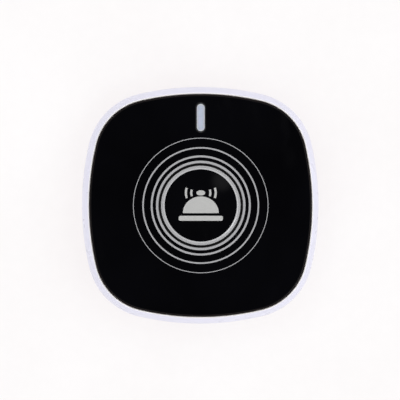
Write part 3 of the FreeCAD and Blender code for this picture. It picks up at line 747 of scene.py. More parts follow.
@dataclass(frozen=True)
class ChipPackage(Finish):
    """Matt epoxy package with a first-leg dot, and tinned legs on its two long sides."""

    centre: Flat = (0.0, 0.0)
    half: Flat = (2.5, 2.0)
    speckle: Cloud = Cloud(0.12, 2.0)
    speckle_share: float = 0.25
    speckle_depth: float = 0.01
    speckle_strength: float = 0.6
    dot_inset: float = 0.75
    dot_edge: Flat = (0.34, 0.28)
    dot_colour: Colour = (0.05, 0.05, 0.052)
    dot_rough: float = 0.25
    leg_gap: float = 0.02
    tin: Colour = (0.62, 0.62, 0.60)
    tin_share: float = 0.06
    tin_rough: float = 0.28

    def work(self, graph: Graph) -> None:
        """Parts the legs from the package by their distance from its middle.

        Args:
            graph: the material's nodes.
        """
        y = graph.axes(graph.spot((*self.centre, 0.0)))[1]
        legs = graph.maths("GREATER_THAN", graph.maths("ABSOLUTE", y), self.half[1] + self.leg_gap)
        corner = [middle - half + self.dot_inset for middle, half in zip(self.centre, self.half)]
        dot = graph.ramp(graph.radius((*corner, 0.0)), *self.dot_edge)
        speckle = graph.noise(self.speckle)
        epoxy = graph.blend(dot, graph.drift(self.colour, self.speckle_share, speckle), self.dot_colour)
        rough = graph.ramp(dot, 0.0, 1.0, self.roughness, self.dot_rough)
        graph.set(
            Base_Color=graph.blend(legs, epoxy, graph.drift(self.tin, self.tin_share, speckle)),
            Metallic=legs,
            Roughness=graph.minus(rough, graph.times(legs, self.tin_rough)),
            Normal=graph.relief(speckle, self.speckle_depth, self.speckle_strength),
        )


@dataclass(frozen=True)
class SpeckledSolid(Finish):
    """A plain body such as ceramic, adhesive film, resin or paint: speckled, with soft drift."""

    speckle: float = 0.15
    speckle_rough: float = 0.08
    drift_scale: float = 18.0
    drift_share: float = 0.07
    pores: float = 0.35
    pore_step: Flat = (0.62, 0.72)
    pore_tone: float = 0.6
    depth: float = 0.008
    strength: float = 0.5
    glow: Colour = (0.0, 0.0, 0.0)

    def work(self, graph: Graph) -> None:
        """Mixes drift and speckle.

        Args:
            graph: the material's nodes.
        """
        fine = graph.noise(Cloud(self.speckle, 2.0))
        wide = graph.noise(Cloud(self.speckle * self.drift_scale, 3.0))
        base = graph.drift(self.colour, self.drift_share, wide)
        pores = graph.ramp(fine, *self.pore_step, 0.0, self.pores)
        graph.set(
            Base_Color=graph.blend(pores, base, tuple(self.pore_tone * c for c in self.colour)),
            Roughness=graph.sway(fine, self.roughness, self.speckle_rough, self.speckle_rough),
            Normal=graph.relief(fine, self.depth, self.strength),
            Emission_Color=self.glow,
            Emission_Strength=1.0,
        )


# ================================================================ shapes
@dataclass(frozen=True)
class Bend:
    """An arc of a profile: the pen turns about a centre in the radius and height plane."""

    centre: Flat
    degrees: float
    steps: int


def on_ring(radius: float, height: float) -> Callable[[Vector], bool]:
    """A test that picks the points of one level ring."""
    return lambda p: abs(math.hypot(p.x, p.y) - radius) < NEAR and abs(p.z - height) < NEAR


class Shape:
    """A mesh in the making, in millimetres, shaped by bmesh operators."""

    def __init__(self) -> None:
        """Starts empty."""
        self.bm = bmesh.new()

    # ------------------------------------------------------------ ways to start
    @classmethod
    def turned(
        cls, profile: Sequence[Flat | Bend], steps: int = 160, sweep: float = 360.0, start: float = 0.0
    ) -> "Shape":
        """Spins a closed profile about Z.

        Args:
            profile: (radius, height) points and Bends, in order.
            steps: faces round the sweep.
            sweep: degrees of the spin.
            start: degrees where it starts.

        Returns:
            The closed shape.
        """
        made = cls()
        bm = made.bm
        first = pen = bm.verts.new((profile[0][0], 0.0, profile[0][1]))
        for step in profile[1:]:
            if isinstance(step, Bend):
                centre = (step.centre[0], 0.0, step.centre[1])
                pen = made.swung(pen, centre, math.radians(step.degrees), step.steps, (0, 1, 0))
            else:
                point = bm.verts.new((step[0], 0.0, step[1]))
                bm.edges.new((pen, point))
                pen = point
        if max(abs(first.co.x), abs(pen.co.x)) > MERGE:
            bm.edges.new((pen, first))
        full = sweep == 360.0
        made.rotated("Z", start)
        bmesh.ops.spin(
            bm, geom=made.everything(), cent=ORIGIN, axis=UP, angle=math.radians(sweep), steps=steps,
            use_merge=full,
        )
        bmesh.ops.remove_doubles(bm, verts=bm.verts, dist=MERGE)
        if not full:
            bmesh.ops.holes_fill(bm, edges=bm.edges, sides=0)
        return made.facing_out()

    @classmethod
    def hoop(
        cls, inner: float, outer: float, low: float, high: float, steps: int,
        sweep: float = 360.0, start: float = 0.0,
    ) -> "Shape":
        """Turns a ring between two radii and two heights, or a solid disc where the inner radius is 0."""
        return cls.turned([(inner, low), (outer, low), (outer, high), (inner, high)], steps, sweep, start)

    @classmethod
    def block(cls, width: float, depth: float, low: float, high: float) -> "Shape":
        """Makes a box about the Z axis.

        Args:
            width: size along X.
            depth: size along Y.
            low: lower height.
            high: upper height.

        Returns:
            The box.
        """
        made = cls()
        size = Matrix.Diagonal((width, depth, high - low, 1.0))
        bmesh.ops.create_cube(made.bm, size=1.0, matrix=Matrix.Translation((0, 0, (low + high) / 2)) @ size)
        return made

    @classmethod
    def pill(cls, width: float, length: float, low: float, high: float, steps: int = 32) -> "Shape":
        """Makes an upright prism with round ends, its length along Y.

        Args:
            width: size along X.
            length: size along Y.
            low: lower height.
            high: upper height.
            steps: faces round each end.

        Returns:
            The prism.
        """
        made = cls()
        half = (length - width) / 2
        right = made.bm.verts.new((width / 2, half, 0.0))
        pen = made.swung(right, (0, half, 0), math.pi, steps)
        left = made.bm.verts.new((-width / 2, -half, 0.0))
        made.bm.edges.new((pen, left))
        pen = made.swung(left, (0, -half, 0), math.pi, steps)
        made.bm.edges.new((pen, right))
        bmesh.ops.contextual_create(made.bm, geom=made.bm.edges[:])
        return made.moved(z=low).raised(high - low)

    @classmethod
    def disc(cls, radius: float, segments: int) -> "Shape":
        """Makes a flat disc, or a regular polygon of few segments.

        Args:
            radius: its radius.
            segments: its corners.

        Returns:
            The disc, as one face.
        """
        made = cls()
        bmesh.ops.create_circle(made.bm, cap_ends=True, radius=radius, segments=segments)
        return made

    @classmethod
    def sheet(cls, width: float, depth: float) -> "Shape":
        """Makes a flat rectangle about the origin.

        Args:
            width: size along X.
            depth: size along Y.

        Returns:
            The rectangle, as one face.
        """
        made = cls()
        bmesh.ops.create_grid(made.bm, x_segments=1, y_segments=1, size=0.5)
        return made.scaled(width, depth)

    @classmethod
    def ball(cls, radius: float, height: float, segments: int = 12) -> "Shape":
        """Makes a flattened drop about the origin.

        Args:
            radius: the drop's radius.
            height: its height each way.
            segments: faces round it.

        Returns:
            The drop.
        """
        made = cls()
        bmesh.ops.create_uvsphere(made.bm, u_segments=segments, v_segments=segments // 2, radius=1.0)
        return made.scaled(radius, radius, height)

    @classmethod
    def coiled(cls, radius: float, wire: float, runs: Sequence[Flat], sides: int, per_turn: int) -> "Shape":
        """Winds round wire about Z from height 0.

        Args:
            radius: the coil's mean radius.
            wire: the wire's diameter.
            runs: (turns, pitch) of each stretch of the coil.
            sides: faces round the wire.
            per_turn: steps of each turn.

        Returns:
            The coil, closed at both ends.
        """
        made = cls()
        placed = Matrix.Translation((radius, 0, 0)) @ Matrix.Rotation(math.pi / 2, 4, "X")
        bmesh.ops.create_circle(made.bm, cap_ends=False, radius=wire / 2, segments=sides, matrix=placed)
        section = made.bm.verts[:] + made.bm.edges[:]
        for turns, pitch in runs:
            steps = round(turns * per_turn)
            spun = bmesh.ops.spin(
                made.bm, geom=section, cent=ORIGIN, dvec=(0, 0, pitch * turns / steps),
                axis=UP, angle=2 * math.pi * turns, steps=steps,
            )
            section = spun["geom_last"]
        bmesh.ops.holes_fill(made.bm, edges=made.bm.edges, sides=0)
        return made.facing_out()

    # ------------------------------------------------------------ ways to work it
    def everything(self) -> list[bmesh.types.BMVert | bmesh.types.BMEdge | bmesh.types.BMFace]:
        """All points, edges and faces."""
        return self.bm.verts[:] + self.bm.edges[:] + self.bm.faces[:]

    def swung(
        self, pen: bmesh.types.BMVert, centre: Sequence[float], angle: float, steps: int, axis: Point = UP
    ) -> bmesh.types.BMVert:
        """Draws an arc of an angle in radians about a centre, and returns the point where it ends."""
        arc = bmesh.ops.spin(self.bm, geom=[pen], cent=centre, axis=axis, angle=angle, steps=steps)
        return next(e for e in arc["geom_last"] if isinstance(e, bmesh.types.BMVert))

    def moved(self, x: float = 0.0, y: float = 0.0, z: float = 0.0) -> "Shape":
        """Shifts the shape and returns it."""
        bmesh.ops.translate(self.bm, verts=self.bm.verts, vec=(x, y, z))
        return self

    def rotated(self, axis: str, degrees: float) -> "Shape":
        """Turns the shape about an axis through the origin.

        Args:
            axis: the axis, by its letter.
            degrees: how far.

        Returns:
            The shape.
        """
        turn = Matrix.Rotation(math.radians(degrees), 3, axis)
        bmesh.ops.rotate(self.bm, verts=self.bm.verts, cent=ORIGIN, matrix=turn)
        return self

    def scaled(self, x: float, y: float, z: float = 1.0) -> "Shape":
        """Scales the shape about the origin and returns it."""
        bmesh.ops.scale(self.bm, vec=(x, y, z), verts=self.bm.verts)
        return self

    def painted(self, slot: int) -> "Shape":
        """Gives every face the material of a slot.

        Args:
            slot: the material's slot.

        Returns:
            The shape.
        """
        for face in self.bm.faces:
            face.material_index = slot
        return self

    def facing_out(self) -> "Shape":
        """Turns all faces outwards and returns the shape."""
        bmesh.ops.recalc_face_normals(self.bm, faces=self.bm.faces)
        return self

    def raised(self, height: float) -> "Shape":
        """Thickens flat faces upwards into a closed solid.

        Args:
            height: how far.

        Returns:
            The shape.
        """
        lifted = bmesh.ops.extrude_face_region(self.bm, geom=self.bm.faces[:])["geom"]
        points = [v for v in lifted if isinstance(v, bmesh.types.BMVert)]
        bmesh.ops.translate(self.bm, verts=points, vec=(0, 0, height))
        return self.facing_out()

    def softened(self, pick: Callable[[Vector], bool], radius: float, segments: int = 3) -> "Shape":
        """Rounds the edges whose two ends a test picks.

        Args:
            pick: the test of a point.
            radius: how far the rounding reaches from each edge.
            segments: faces across it.

        Returns:
            The shape.
        """
        picked = (e for e in self.bm.edges if all(pick(v.co) for v in e.verts))
        bmesh.ops.bevel(
            self.bm, geom=[e for e in picked if e.calc_face_angle(0.0) > SHARP], offset=radius,
            offset_type="OFFSET", segments=segments, profile=0.5, affect="EDGES", material=-1,
            clamp_overlap=True,
        )
        return self

    def edge_painted(self, slot: int, beyond: float) -> "Shape":
        """Gives the turned-down edge a material slot of its own.

        Args:
            slot: the material's slot.
            beyond: how far from the middle the edge starts.

        Returns:
            This shape.
        """
        self.bm.normal_update()
        for face in self.bm.faces:
            middle = face.calc_center_median()
            if math.hypot(middle.x, middle.y) > beyond and face.normal.z < FACES_UP:
                face.material_index = slot
        return self

    def sliced(self, step: float, reach: float) -> "Shape":
        """Cuts flat faces into a grid, so that they can follow a dome.

        Args:
            step: distance between the cuts.
            reach: how far the cuts go each way.

        Returns:
            The shape.
        """
        cuts = math.ceil(reach / step)
        for axis in (Vector((1, 0, 0)), Vector((0, 1, 0))):
            for k in range(-cuts, cuts + 1):
                bmesh.ops.bisect_plane(
                    self.bm, geom=self.everything(), dist=CUT, plane_co=axis * (k * step), plane_no=axis,
                )
        return self

    def added(self, others: Iterable["Shape"]) -> "Shape":
        """Takes other shapes in.

        Args:
            others: the shapes; they are used up.

        Returns:
            This shape.
        """
        for other in others:
            mesh = bpy.data.meshes.new("part")
            other.bm.to_mesh(mesh)
            other.bm.free()
            self.bm.from_mesh(mesh)
            bpy.data.meshes.remove(mesh)
        return self

    def copied(self) -> "Shape":
        """Copies the shape.

        Returns:
            The copy.
        """
        twin = Shape()
        twin.bm.free()
        twin.bm = self.bm.copy()
        return twin

    # ------------------------------------------------------------ the finished object
    def placed(self, name: str, finishes: Iterable[Finish]) -> bpy.types.Object:
        """Makes an object of the shape as it is.

        Args:
            name: the object's name.
            finishes: its finishes, by face slot.

        Returns:
            The object.
        """
        mesh = bpy.data.meshes.new(name)
        self.bm.to_mesh(mesh)
        self.bm.free()
        for finish in finishes:
            mesh.materials.append(finish.make())
        made = bpy.data.objects.new(name, mesh)
        bpy.context.scene.collection.objects.link(made)
        return made

    def piece(
        self, name: str, body: Body, finishes: Iterable[Finish], slot: Slot | None = None,
        replaces: Sequence[str] = (), crease: float = 35.0,
    ) -> bpy.types.Object:
        """Turns the shape into a piece of the model, in metres, that rides on a body.

        Args:
            name: the piece's name.
            body: the body that it rides on.
            finishes: its finishes, by face slot.
            slot: the record's slot that it would take its finish from; not used.
            replaces: the solids that it stands for.
            crease: degrees between faces from which an edge stays sharp.

        Returns:
            The object.
        """
        for face in self.bm.faces:
            face.smooth = True
        for edge in self.bm.edges:
            edge.smooth = edge.is_manifold and edge.calc_face_angle(0.0) < math.radians(crease)
        made = self.scaled(MM, MM, MM).placed(name, finishes)
        made.modifiers.new("even_normals", "WEIGHTED_NORMAL").keep_sharp = True
        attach(made, body.value)
        if replaces:
            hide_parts(*replaces)
        LOG.info("%s on %s: %d faces", name, body.value, len(made.data.polygons))
        return made


# ================================================================ sub-assemblies
class SubAssembly:
    """Pieces that belong together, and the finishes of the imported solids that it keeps."""

    solids: ClassVar[Mapping[str, Finish]] = {}

    def build(self) -> None:
        """Makes no piece where the sub-assembly only keeps its solids."""

    def dress(self) -> None:
        """Gives each solid that is kept its finish."""
        for node, finish in self.solids.items():
            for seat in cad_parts[node].material_slots:
                seat.material = finish.make()
            LOG.info("%s: %s", node, finish.name)


@dataclass
class Housing(SubAssembly):
    """The two white shells, their screws, and the lock marks moulded beside the battery door."""

    tone: ClassVar[Colour] = (0.745, 0.742, 0.865)
    steel: ClassVar[Finish] = WorkedMetal("plated_screw_steel", (0.52, 0.52, 0.54), 0.32)
    solids: ClassVar[Mapping[str, Finish]] = {
        "base_shell": MouldedPlastic("base_white", tone, 0.30),
        # the top shell gets a painted highlight along the lip round the panel
        "top_shell": MouldedPlastic("housing_white", tone, 0.30, lip_highlight_outline=PANEL_OUTLINE),
        "case_screws": steel,
        "board_screws": steel,
    }

    underside: float = 0.8
    mark_radius: float = 20.0
    mark_depth: float = 0.3
    mark_root: float = 0.1
    dot: float = 1.3
    dot_chamfer: float = 0.1
    dot_hole: float = 0.8
    locked_deg: float = 115.0
    open_turn: float = 50.0
    arrow_half: float = 0.25
    arrow_margin: float = 8.0
    arrow_tip: float = 5.0
    arrow_overlap: float = 1.5

    def build(self) -> None:
        """Moulds the closed and open marks and the arrow between them under the base."""
        low, high = self.underside - self.mark_depth, self.underside + self.mark_root
        closed = Shape.turned([
            (0.0, low), (self.dot - self.dot_chamfer, low), (self.dot, low + self.dot_chamfer),
            (self.dot, high), (0.0, high),
        ], steps=48)
        closed.moved(self.mark_radius).rotated("Z", self.locked_deg)
        opened = Shape.hoop(self.dot_hole, self.dot, low, high, steps=48)
        opened.moved(self.mark_radius).rotated("Z", self.locked_deg - self.open_turn)
        inner, outer = self.mark_radius - self.arrow_half, self.mark_radius + self.arrow_half
        sweep = self.open_turn - 2 * self.arrow_margin - self.arrow_tip
        start = self.locked_deg - self.arrow_margin - sweep
        arrow = Shape.hoop(inner, outer, low, high, steps=30, sweep=sweep, start=start)
        head = Shape.disc(self.dot, segments=3).rotated("Z", 180.0).moved(z=low).raised(high - low)
        head.moved(self.mark_radius).rotated("Z", start - self.arrow_overlap)
        white = MouldedPlastic("moulded_mark_white", (0.71, 0.71, 0.82), 0.32)
        closed.added([opened, arrow, head]).piece("lock_marks", Body.CASE, [white], Slot.HOUSING)


@dataclass
class RubberFeet(SubAssembly):
    """Four round rubber pads with a rounded rim and two grip grooves."""

    place: float = 25.1
    radius: float = 5.0
    top: float = 1.6
    rim: float = 0.4
    grooves: tuple[Flat, ...] = ((2.0, 2.4), (3.3, 3.7))
    groove_depth: float = 0.14
    groove_flank: float = 0.08

    def build(self) -> None:
        """Turns one pad and sets it under each corner."""
        profile: list[Flat | Bend] = [(0.0, 0.0)]
        for inner, outer in self.grooves:
            left, right = inner + self.groove_flank, outer - self.groove_flank
            profile += [(inner, 0.0), (left, self.groove_depth), (right, self.groove_depth), (outer, 0.0)]
        flat = self.radius - self.rim
        profile += [(flat, 0.0), Bend((flat, self.rim), degrees=-90.0, steps=6)]
        profile += [(self.radius, self.top), (0.0, self.top)]
        pad = Shape.turned(profile, steps=72)
        sides = (-self.place, self.place)
        feet = Shape().added(pad.copied().moved(x, y) for x in sides for y in sides)
        rubber = SoftRubber("foot_rubber", (0.035, 0.035, 0.038), 0.72)
        feet.piece("foot_pads", Body.CASE, [rubber], Slot.FOOT, ["rubber_feet"])


@dataclass
class FrontPanel(SubAssembly):
    """The glossy panel, its adhesive, and the four silver rings printed on it."""

    solids: ClassVar[Mapping[str, Finish]] = {
        "panel_tape": SpeckledSolid("adhesive_film", (0.70, 0.70, 0.66), 0.6, 0.2),
    }

    shape: RoundedSquare = PANEL_OUTLINE
    side_steps: int = 24
    corner_steps: int = 22
    edge_radius: float = 0.7
    edge_reach: float = 2.0
    hole: float = 14.2
    slot: Flat = (3.06, 10.06)
    slot_y: float = 30.0
    mouth: float = 0.15
    under: float = 14.6
    top: float = 16.6
    ink: float = 0.016
    ink_root: float = 0.03
    ink_chamfer: float = 0.012
    rings: tuple[Flat, ...] = ((14.87, 0.80), (16.74, 0.65), (19.67, 0.50), (22.98, 0.23))

    def outline(self) -> Shape:
        """Draws the rounded square whose sides and corners are arcs.

        Returns:
            The outline, as edges.
        """
        drawn = Shape()
        radius, turn = self.shape.side_radius, self.shape.turn
        side = (Vector((-self.shape.reach, 0, 0)), 2 * turn, self.side_steps)
        bend = math.pi / 2 - 2 * turn
        corner = (Vector((self.shape.corner, self.shape.corner, 0)), bend, self.corner_steps)
        pen = drawn.bm.verts.new((radius * math.cos(turn) - self.shape.reach, -radius * math.sin(turn), 0.0))
        for quarter in range(4):
            facing = Matrix.Rotation(quarter * math.pi / 2, 3, "Z")
            for centre, angle, steps in (side, corner):
                pen = drawn.swung(pen, facing @ centre, angle, steps)
        bmesh.ops.remove_doubles(drawn.bm, verts=drawn.bm.verts, dist=NEAR)
        return drawn

    def plate(self) -> Shape:
        """The panel with its rounded edge, the cap's hole and the window's slot.

        Returns:
            The plate.
        """
        sheet = self.outline()
        bmesh.ops.create_circle(sheet.bm, cap_ends=False, radius=self.hole, segments=192)
        depth = self.top - self.under
        slot = Shape.pill(*self.slot, 0.0, depth).moved(y=self.slot_y)
        bmesh.ops.delete(slot.bm, geom=slot.bm.faces[:], context="FACES_ONLY")
        bmesh.ops.delete(slot.bm, geom=[v for v in slot.bm.verts if v.co.z > depth / 2], context="VERTS")
        sheet.added([slot])
        bmesh.ops.triangle_fill(
            sheet.bm, use_beauty=True, use_dissolve=False, edges=sheet.bm.edges, normal=UP,
        )
        sheet.moved(z=self.under).raised(depth)
        upper, beyond = self.top - NEAR, self.shape.half - self.edge_reach
        sheet.softened(
            lambda p: p.z > upper and math.hypot(p.x, p.y) > beyond, self.edge_radius, segments=7,
        )
        sheet.softened(lambda p: p.z > upper and math.hypot(p.x, p.y) < beyond, self.mouth, segments=2)
        return sheet.edge_painted(1, beyond)

    def build(self) -> None:
        """Cuts the panel and prints the rings."""
        gloss = GlossSheet("panel_gloss_black", (0.0016, 0.0016, 0.0022), 0.05)
        # the edge faces get a lighter brownish colour than the face: painted reflection along the panel's
        # rounded edge, under a weak gloss
        edge = GlossSheet("panel_edge_black", (0.006, 0.0035, 0.0035), 0.25, shine=0.05)
        self.plate().piece("panel_plate", Body.CASE, [gloss, edge], Slot.PANEL, ["front_panel"], crease=20.0)
        silver = SilverInk("silver_ring_ink", (0.358, 0.358, 0.371), 0.48)
        low, high, chamfer = self.top - self.ink_root, self.top + self.ink, self.ink_chamfer
        for count, (radius, width) in enumerate(self.rings, start=2):
            inner, outer = radius - width / 2, radius + width / 2
            ring = Shape.turned([
                (inner, low), (outer, low), (outer, high - chamfer), (outer - chamfer, high),
                (inner + chamfer, high), (inner, high - chamfer),
            ], steps=224)
            ring.piece(f"printed_ring_{count}", Body.CASE, [silver], Slot.INK)


@dataclass
class SignalWindow(SubAssembly):
    """The frosted light guide and the two lamps under it."""

    width: float = 3.0
    length: float = 10.0
    y: float = 30.0
    top: float = 16.6
    foot: float = 12.0
    mouth: float = 0.10
    flange: Flat = (13.65, 14.4)
    flange_extra: float = 2.0
    flange_edge: float = 0.15
    lamp_ys: Flat = (27.6, 32.4)
    lamp_depth: float = 1.25
    board_top: float = 10.7
    base: Flat = (1.7, 0.35)
    lens_width: float = 1.3
    lens: Flat = (0.3, 0.8)
    lens_round: float = 0.22
    terminal: Flat = (0.3, 0.33)
    terminal_x: float = 0.85

    def lamp(self) -> Shape:
        """One lamp about the Z axis: its base, its lens and its two terminals.

        Returns:
            The lamp, in three material slots.
        """
        foot, depth = self.board_top, self.lamp_depth
        lamp = Shape.block(self.base[0], depth, foot, foot + self.base[1])
        lens = Shape.block(self.lens_width, depth, foot + self.lens[0], foot + self.lens[1])
        lens.softened(lambda p: p.z > foot + self.lens[1] - NEAR, self.lens_round, segments=4).painted(1)
        ends = []
        for side in (-1, 1):
            end = Shape.block(self.terminal[0], depth, foot, foot + self.terminal[1])
            ends.append(end.painted(2).moved(side * self.terminal_x))
        return lamp.added([lens, *ends])

    def build(self) -> None:
        """Shapes the guide with a softened mouth, and the lamps with terminals and lenses."""
        bar = Shape.pill(self.width, self.length, self.foot, self.top)
        bar.softened(lambda p: abs(p.z - self.top) < NEAR, self.mouth, segments=3)
        flange = Shape.pill(self.width + self.flange_extra, self.length + self.flange_extra, *self.flange)
        flange.softened(lambda p: abs(p.z - self.flange[0]) < NEAR, self.flange_edge, segments=2)
        frost = FrostedWindow("window_frost", (0.43, 0.45, 0.495), 0.32)
        bar.added([flange]).moved(y=self.y)
        bar.piece("window_bar", Body.CASE, [frost], Slot.WINDOW, ["light_guide"])
        white = SpeckledSolid("lamp_base_white", (0.78, 0.78, 0.74), 0.4, 0.1)
        resin = SpeckledSolid("lamp_resin", (0.80, 0.70, 0.22), 0.14, 0.3, depth=0.002)
        gold = WorkedMetal("lamp_terminal_gold", (0.83, 0.62, 0.28), 0.25)
        lamps = Shape().added(self.lamp().moved(y=y) for y in self.lamp_ys)
        lamps.piece("lamp_bodies", Body.CASE, [white, resin, gold], Slot.LAMP, ["signal_lamps"])


@dataclass(frozen=True)
class BellSign:
    """A generic service bell seen from the side: its dome, plinth, knob and four strokes of sound."""

    size: float = 1.3
    drop: float = -2.6
    dome: float = 4.7
    dome_squash: float = 0.93
    plinth: Flat = (11.6, 1.3)
    plinth_y: float = -1.35
    plinth_round: float = 0.5
    knob: Flat = (1.1475, 0.68)
    knob_y: float = 5.3
    stroke_radii: Flat = (2.5, 3.9)
    stroke_half: float = 0.28
    stroke_deg: float = 40.0

    def stroke(self, radius: float, facing: float) -> Shape:
        """One stroke of sound beside the knob.

        Args:
            radius: the stroke's distance from the knob.
            facing: degrees of its direction.

        Returns:
            The flat stroke.
        """
        drawn = Shape()
        ends = [drawn.bm.verts.new((radius + way * self.stroke_half, 0.0, 0.0)) for way in (-1, 1)]
        drawn.bm.edges.new(ends)
        drawn.rotated("Z", facing - self.stroke_deg / 2)
        angle = math.radians(self.stroke_deg)
        bmesh.ops.spin(drawn.bm, geom=drawn.everything(), cent=ORIGIN, axis=UP, angle=angle, steps=18)
        return drawn.moved(y=self.knob_y)

    def draw(self) -> Shape:
        """Draws the bell flat, at its size and place on the cap.

        Returns:
            The flat sign.
        """
        dome = Shape.disc(self.dome, segments=96)
        below = (0, -1, 0)
        bmesh.ops.bisect_plane(
            dome.bm, geom=dome.everything(), dist=CUT, plane_co=ORIGIN, plane_no=below, clear_outer=True,
        )
        dome.scaled(1.0, self.dome_squash)
        plinth = Shape.sheet(*self.plinth)
        bmesh.ops.bevel(
            plinth.bm, geom=plinth.bm.verts[:], offset=self.plinth_round, segments=5, profile=0.5,
            affect="VERTICES", material=-1,
        )
        knob = Shape.disc(1.0, segments=40).scaled(*self.knob)
        strokes = [self.stroke(radius, facing) for facing in (0.0, 180.0) for radius in self.stroke_radii]
        sign = Shape().added([dome, plinth.moved(y=self.plinth_y), knob.moved(y=self.knob_y), *strokes])
        return sign.scaled(self.size, self.size, self.size).moved(y=self.drop)


@dataclass
class CallCap(SubAssembly):
    """The domed push cap, the ring printed round its step, and the bell pictogram on its dome."""

    radius: float = 14.0
    border: float = 16.9
    border_edge: float = 0.24
    under: float = 14.9
    skirt_in: float = 12.9
    skirt_foot: float = 12.0
    flange_top: float = 12.95
    flange_root: float = 14.4
    flange_radius: float = 15.4
    keys: int = 4
    key_width: float = 1.6
    dome_foot: float = 12.92
    foot_edge: float = 0.07
    dome_radius: float = 12.37
    dome_edge: float = 0.03
    dome_z: float = 17.06
    dome_rise: float = 0.40
    ring: Flat = (12.33, 13.54)
    ink: float = 0.018
    ink_root: float = 0.03
    root: float = 0.1
    works_top: float = 15.0
    works_foot: float = 13.9
    seat: Flat = (7.6, 8.5)
    boss_foot: float = 14.15
    boss_radius: float = 2.2
    boss_chamfer: float = 0.2
    rib: Flat = (4.9, 0.8)
    rib_middle: float = 10.75
    ribs: int = 6
    sign: BellSign = BellSign()
    sign_step: float = 0.9
    sign_reach: float = 9.0

    def sphere(self) -> Flat:
        """The dome's sphere: its radius and the height of its centre."""
        ball = (self.dome_radius**2 + self.dome_rise**2) / (2 * self.dome_rise)
        return ball, self.dome_z + self.dome_rise - ball

    def body(self) -> Shape:
        """The cap's moulding above its works.

        Returns:
            The shape.
        """
        ball, centre = self.sphere()
        lean = math.degrees(math.asin(self.dome_radius / ball))
        inner = math.degrees(math.asin(self.ring[0] / ball))
        cap = Shape.turned([
            (0.0, self.under),
            (self.skirt_in, self.under),
            (self.skirt_in, self.skirt_foot),
            (self.flange_root, self.skirt_foot),
            (self.flange_root, self.flange_top),
            (self.radius, self.flange_top),
            (self.radius, self.border),
            (self.ring[1], self.border),
            (self.dome_foot, self.border),
            (self.dome_radius, self.dome_z),
            Bend((0.0, centre), inner - lean, steps=1),
            Bend((0.0, centre), -inner, steps=20),
        ], steps=192)
        cap.softened(on_ring(self.radius, self.border), self.border_edge, segments=5)
        cap.softened(on_ring(self.dome_foot, self.border), self.foot_edge, segments=3)
        cap.softened(on_ring(self.dome_radius, self.dome_z), self.dome_edge, segments=3)
        return cap.edge_painted(1, self.ring[1])

    def works(self) -> list[Shape]:
        """The parts of the moulding below the dome.

        Returns:
            The flange's sectors, the spring seat, the boss and the ribs.
        """
        inner, gap = self.flange_root - self.root, math.degrees(self.key_width / self.flange_radius)
        pitch = 360.0 / self.keys
        sectors = []
        for k in range(self.keys):
            start = pitch * (k + 0.5) + gap / 2
            sectors.append(Shape.hoop(
                inner, self.flange_radius, self.skirt_foot, self.flange_top,
                steps=40, sweep=pitch - gap, start=start,
            ))
        seat = Shape.hoop(*self.seat, self.works_foot, self.works_top, steps=72)
        boss = Shape.turned([
            (0.0, self.boss_foot), (self.boss_radius - self.boss_chamfer, self.boss_foot),
            (self.boss_radius, self.boss_foot + self.boss_chamfer), (self.boss_radius, self.works_top),
            (0.0, self.works_top),
        ], steps=48)
        ribs = []
        for k in range(self.ribs):
            rib = Shape.block(*self.rib, self.works_foot, self.works_top).moved(self.rib_middle)
            ribs.append(rib.rotated("Z", k * 360.0 / self.ribs))
        return [*sectors, seat, boss, *ribs]

    def print_ring(self, cap: Shape) -> Shape:
        """The ink over the cap's step, lifted off the cap's own faces.

        Args:
            cap: the moulding that the ink lies on.

        Returns:
            The ink.
        """
        ink = cap.copied()
        low, high = self.ring
        rest = []
        for face in ink.bm.faces:
            middle = face.calc_center_median()
            if not (low < math.hypot(middle.x, middle.y) < high and middle.z > self.border - NEAR):
                rest.append(face)
        bmesh.ops.delete(ink.bm, geom=rest, context="FACES")
        bmesh.ops.solidify(ink.bm, geom=ink.bm.faces[:], thickness=-self.ink)
        return ink.facing_out()

    def print_sign(self) -> Shape:
        """The bell's ink, laid on the dome.

        Returns:
            The ink.
        """
        thick = 1.0
        ink = self.sign.draw().sliced(self.sign_step, self.sign_reach).raised(thick)
        ball, centre = self.sphere()
        for vert in ink.bm.verts:
            across = vert.co.x**2 + vert.co.y**2
            lift = self.ink if vert.co.z > thick / 2 else -self.ink_root
            vert.co.z = centre + math.sqrt(ball**2 - across) + lift
        return ink.facing_out()

    def build(self) -> None:
        """Makes the cap and its print."""
        gloss = GlossSheet("cap_gloss_black", (0.0018, 0.0018, 0.0024), 0.06, wear=0.05)
        edge = GlossSheet("cap_edge_black", (0.0018, 0.0018, 0.002), 0.25, shine=0.06)
        silver = SilverInk("silver_cap_ink", (0.38, 0.38, 0.39), 0.45, crest=self.dome_foot)
        pale = SilverInk("silver_sign_ink", (0.45, 0.45, 0.443), 0.45)
        cap = self.body()
        ring = self.print_ring(cap)
        cap.added(self.works()).piece("domed_cap", Body.BUTTON, [gloss, edge], Slot.CAP, ["call_cap"])
        ring.piece("printed_ring_1", Body.BUTTON, [silver], Slot.INK)
        self.print_sign().piece("bell_sign", Body.BUTTON, [pale], Slot.INK)


@dataclass
class ReturnSpring(SubAssembly):
    """The coil that lifts the cap, with closed end turns."""

    radius: float = 7.0
    wire: float = 0.6
    foot: float = 10.7
    seat: float = 14.9
    play: float = 0.03
    turns: float = 3.5
    closed: float = 0.5
    travel: float = 0.5

    def build(self) -> None:
        """Winds the spring and gives it a mesh of its own."""
        room = self.seat - self.foot - self.wire - 2 * self.play
        live = self.turns - 2 * self.closed
        end, middle = (self.closed, self.wire), (live, (room - 2 * self.closed * self.wire) / live)
        coil = Shape.coiled(self.radius, self.wire, [end, middle, end], sides=14, per_turn=60)
        coil.moved(z=self.foot + self.wire / 2 + self.play)
        steel = WorkedMetal("spring_wire_steel", (0.58, 0.58, 0.60), 0.24)
        spring = coil.piece("return_coil", Body.BUTTON, [steel], Slot.SPRING, ["return_spring"])
        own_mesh(spring)


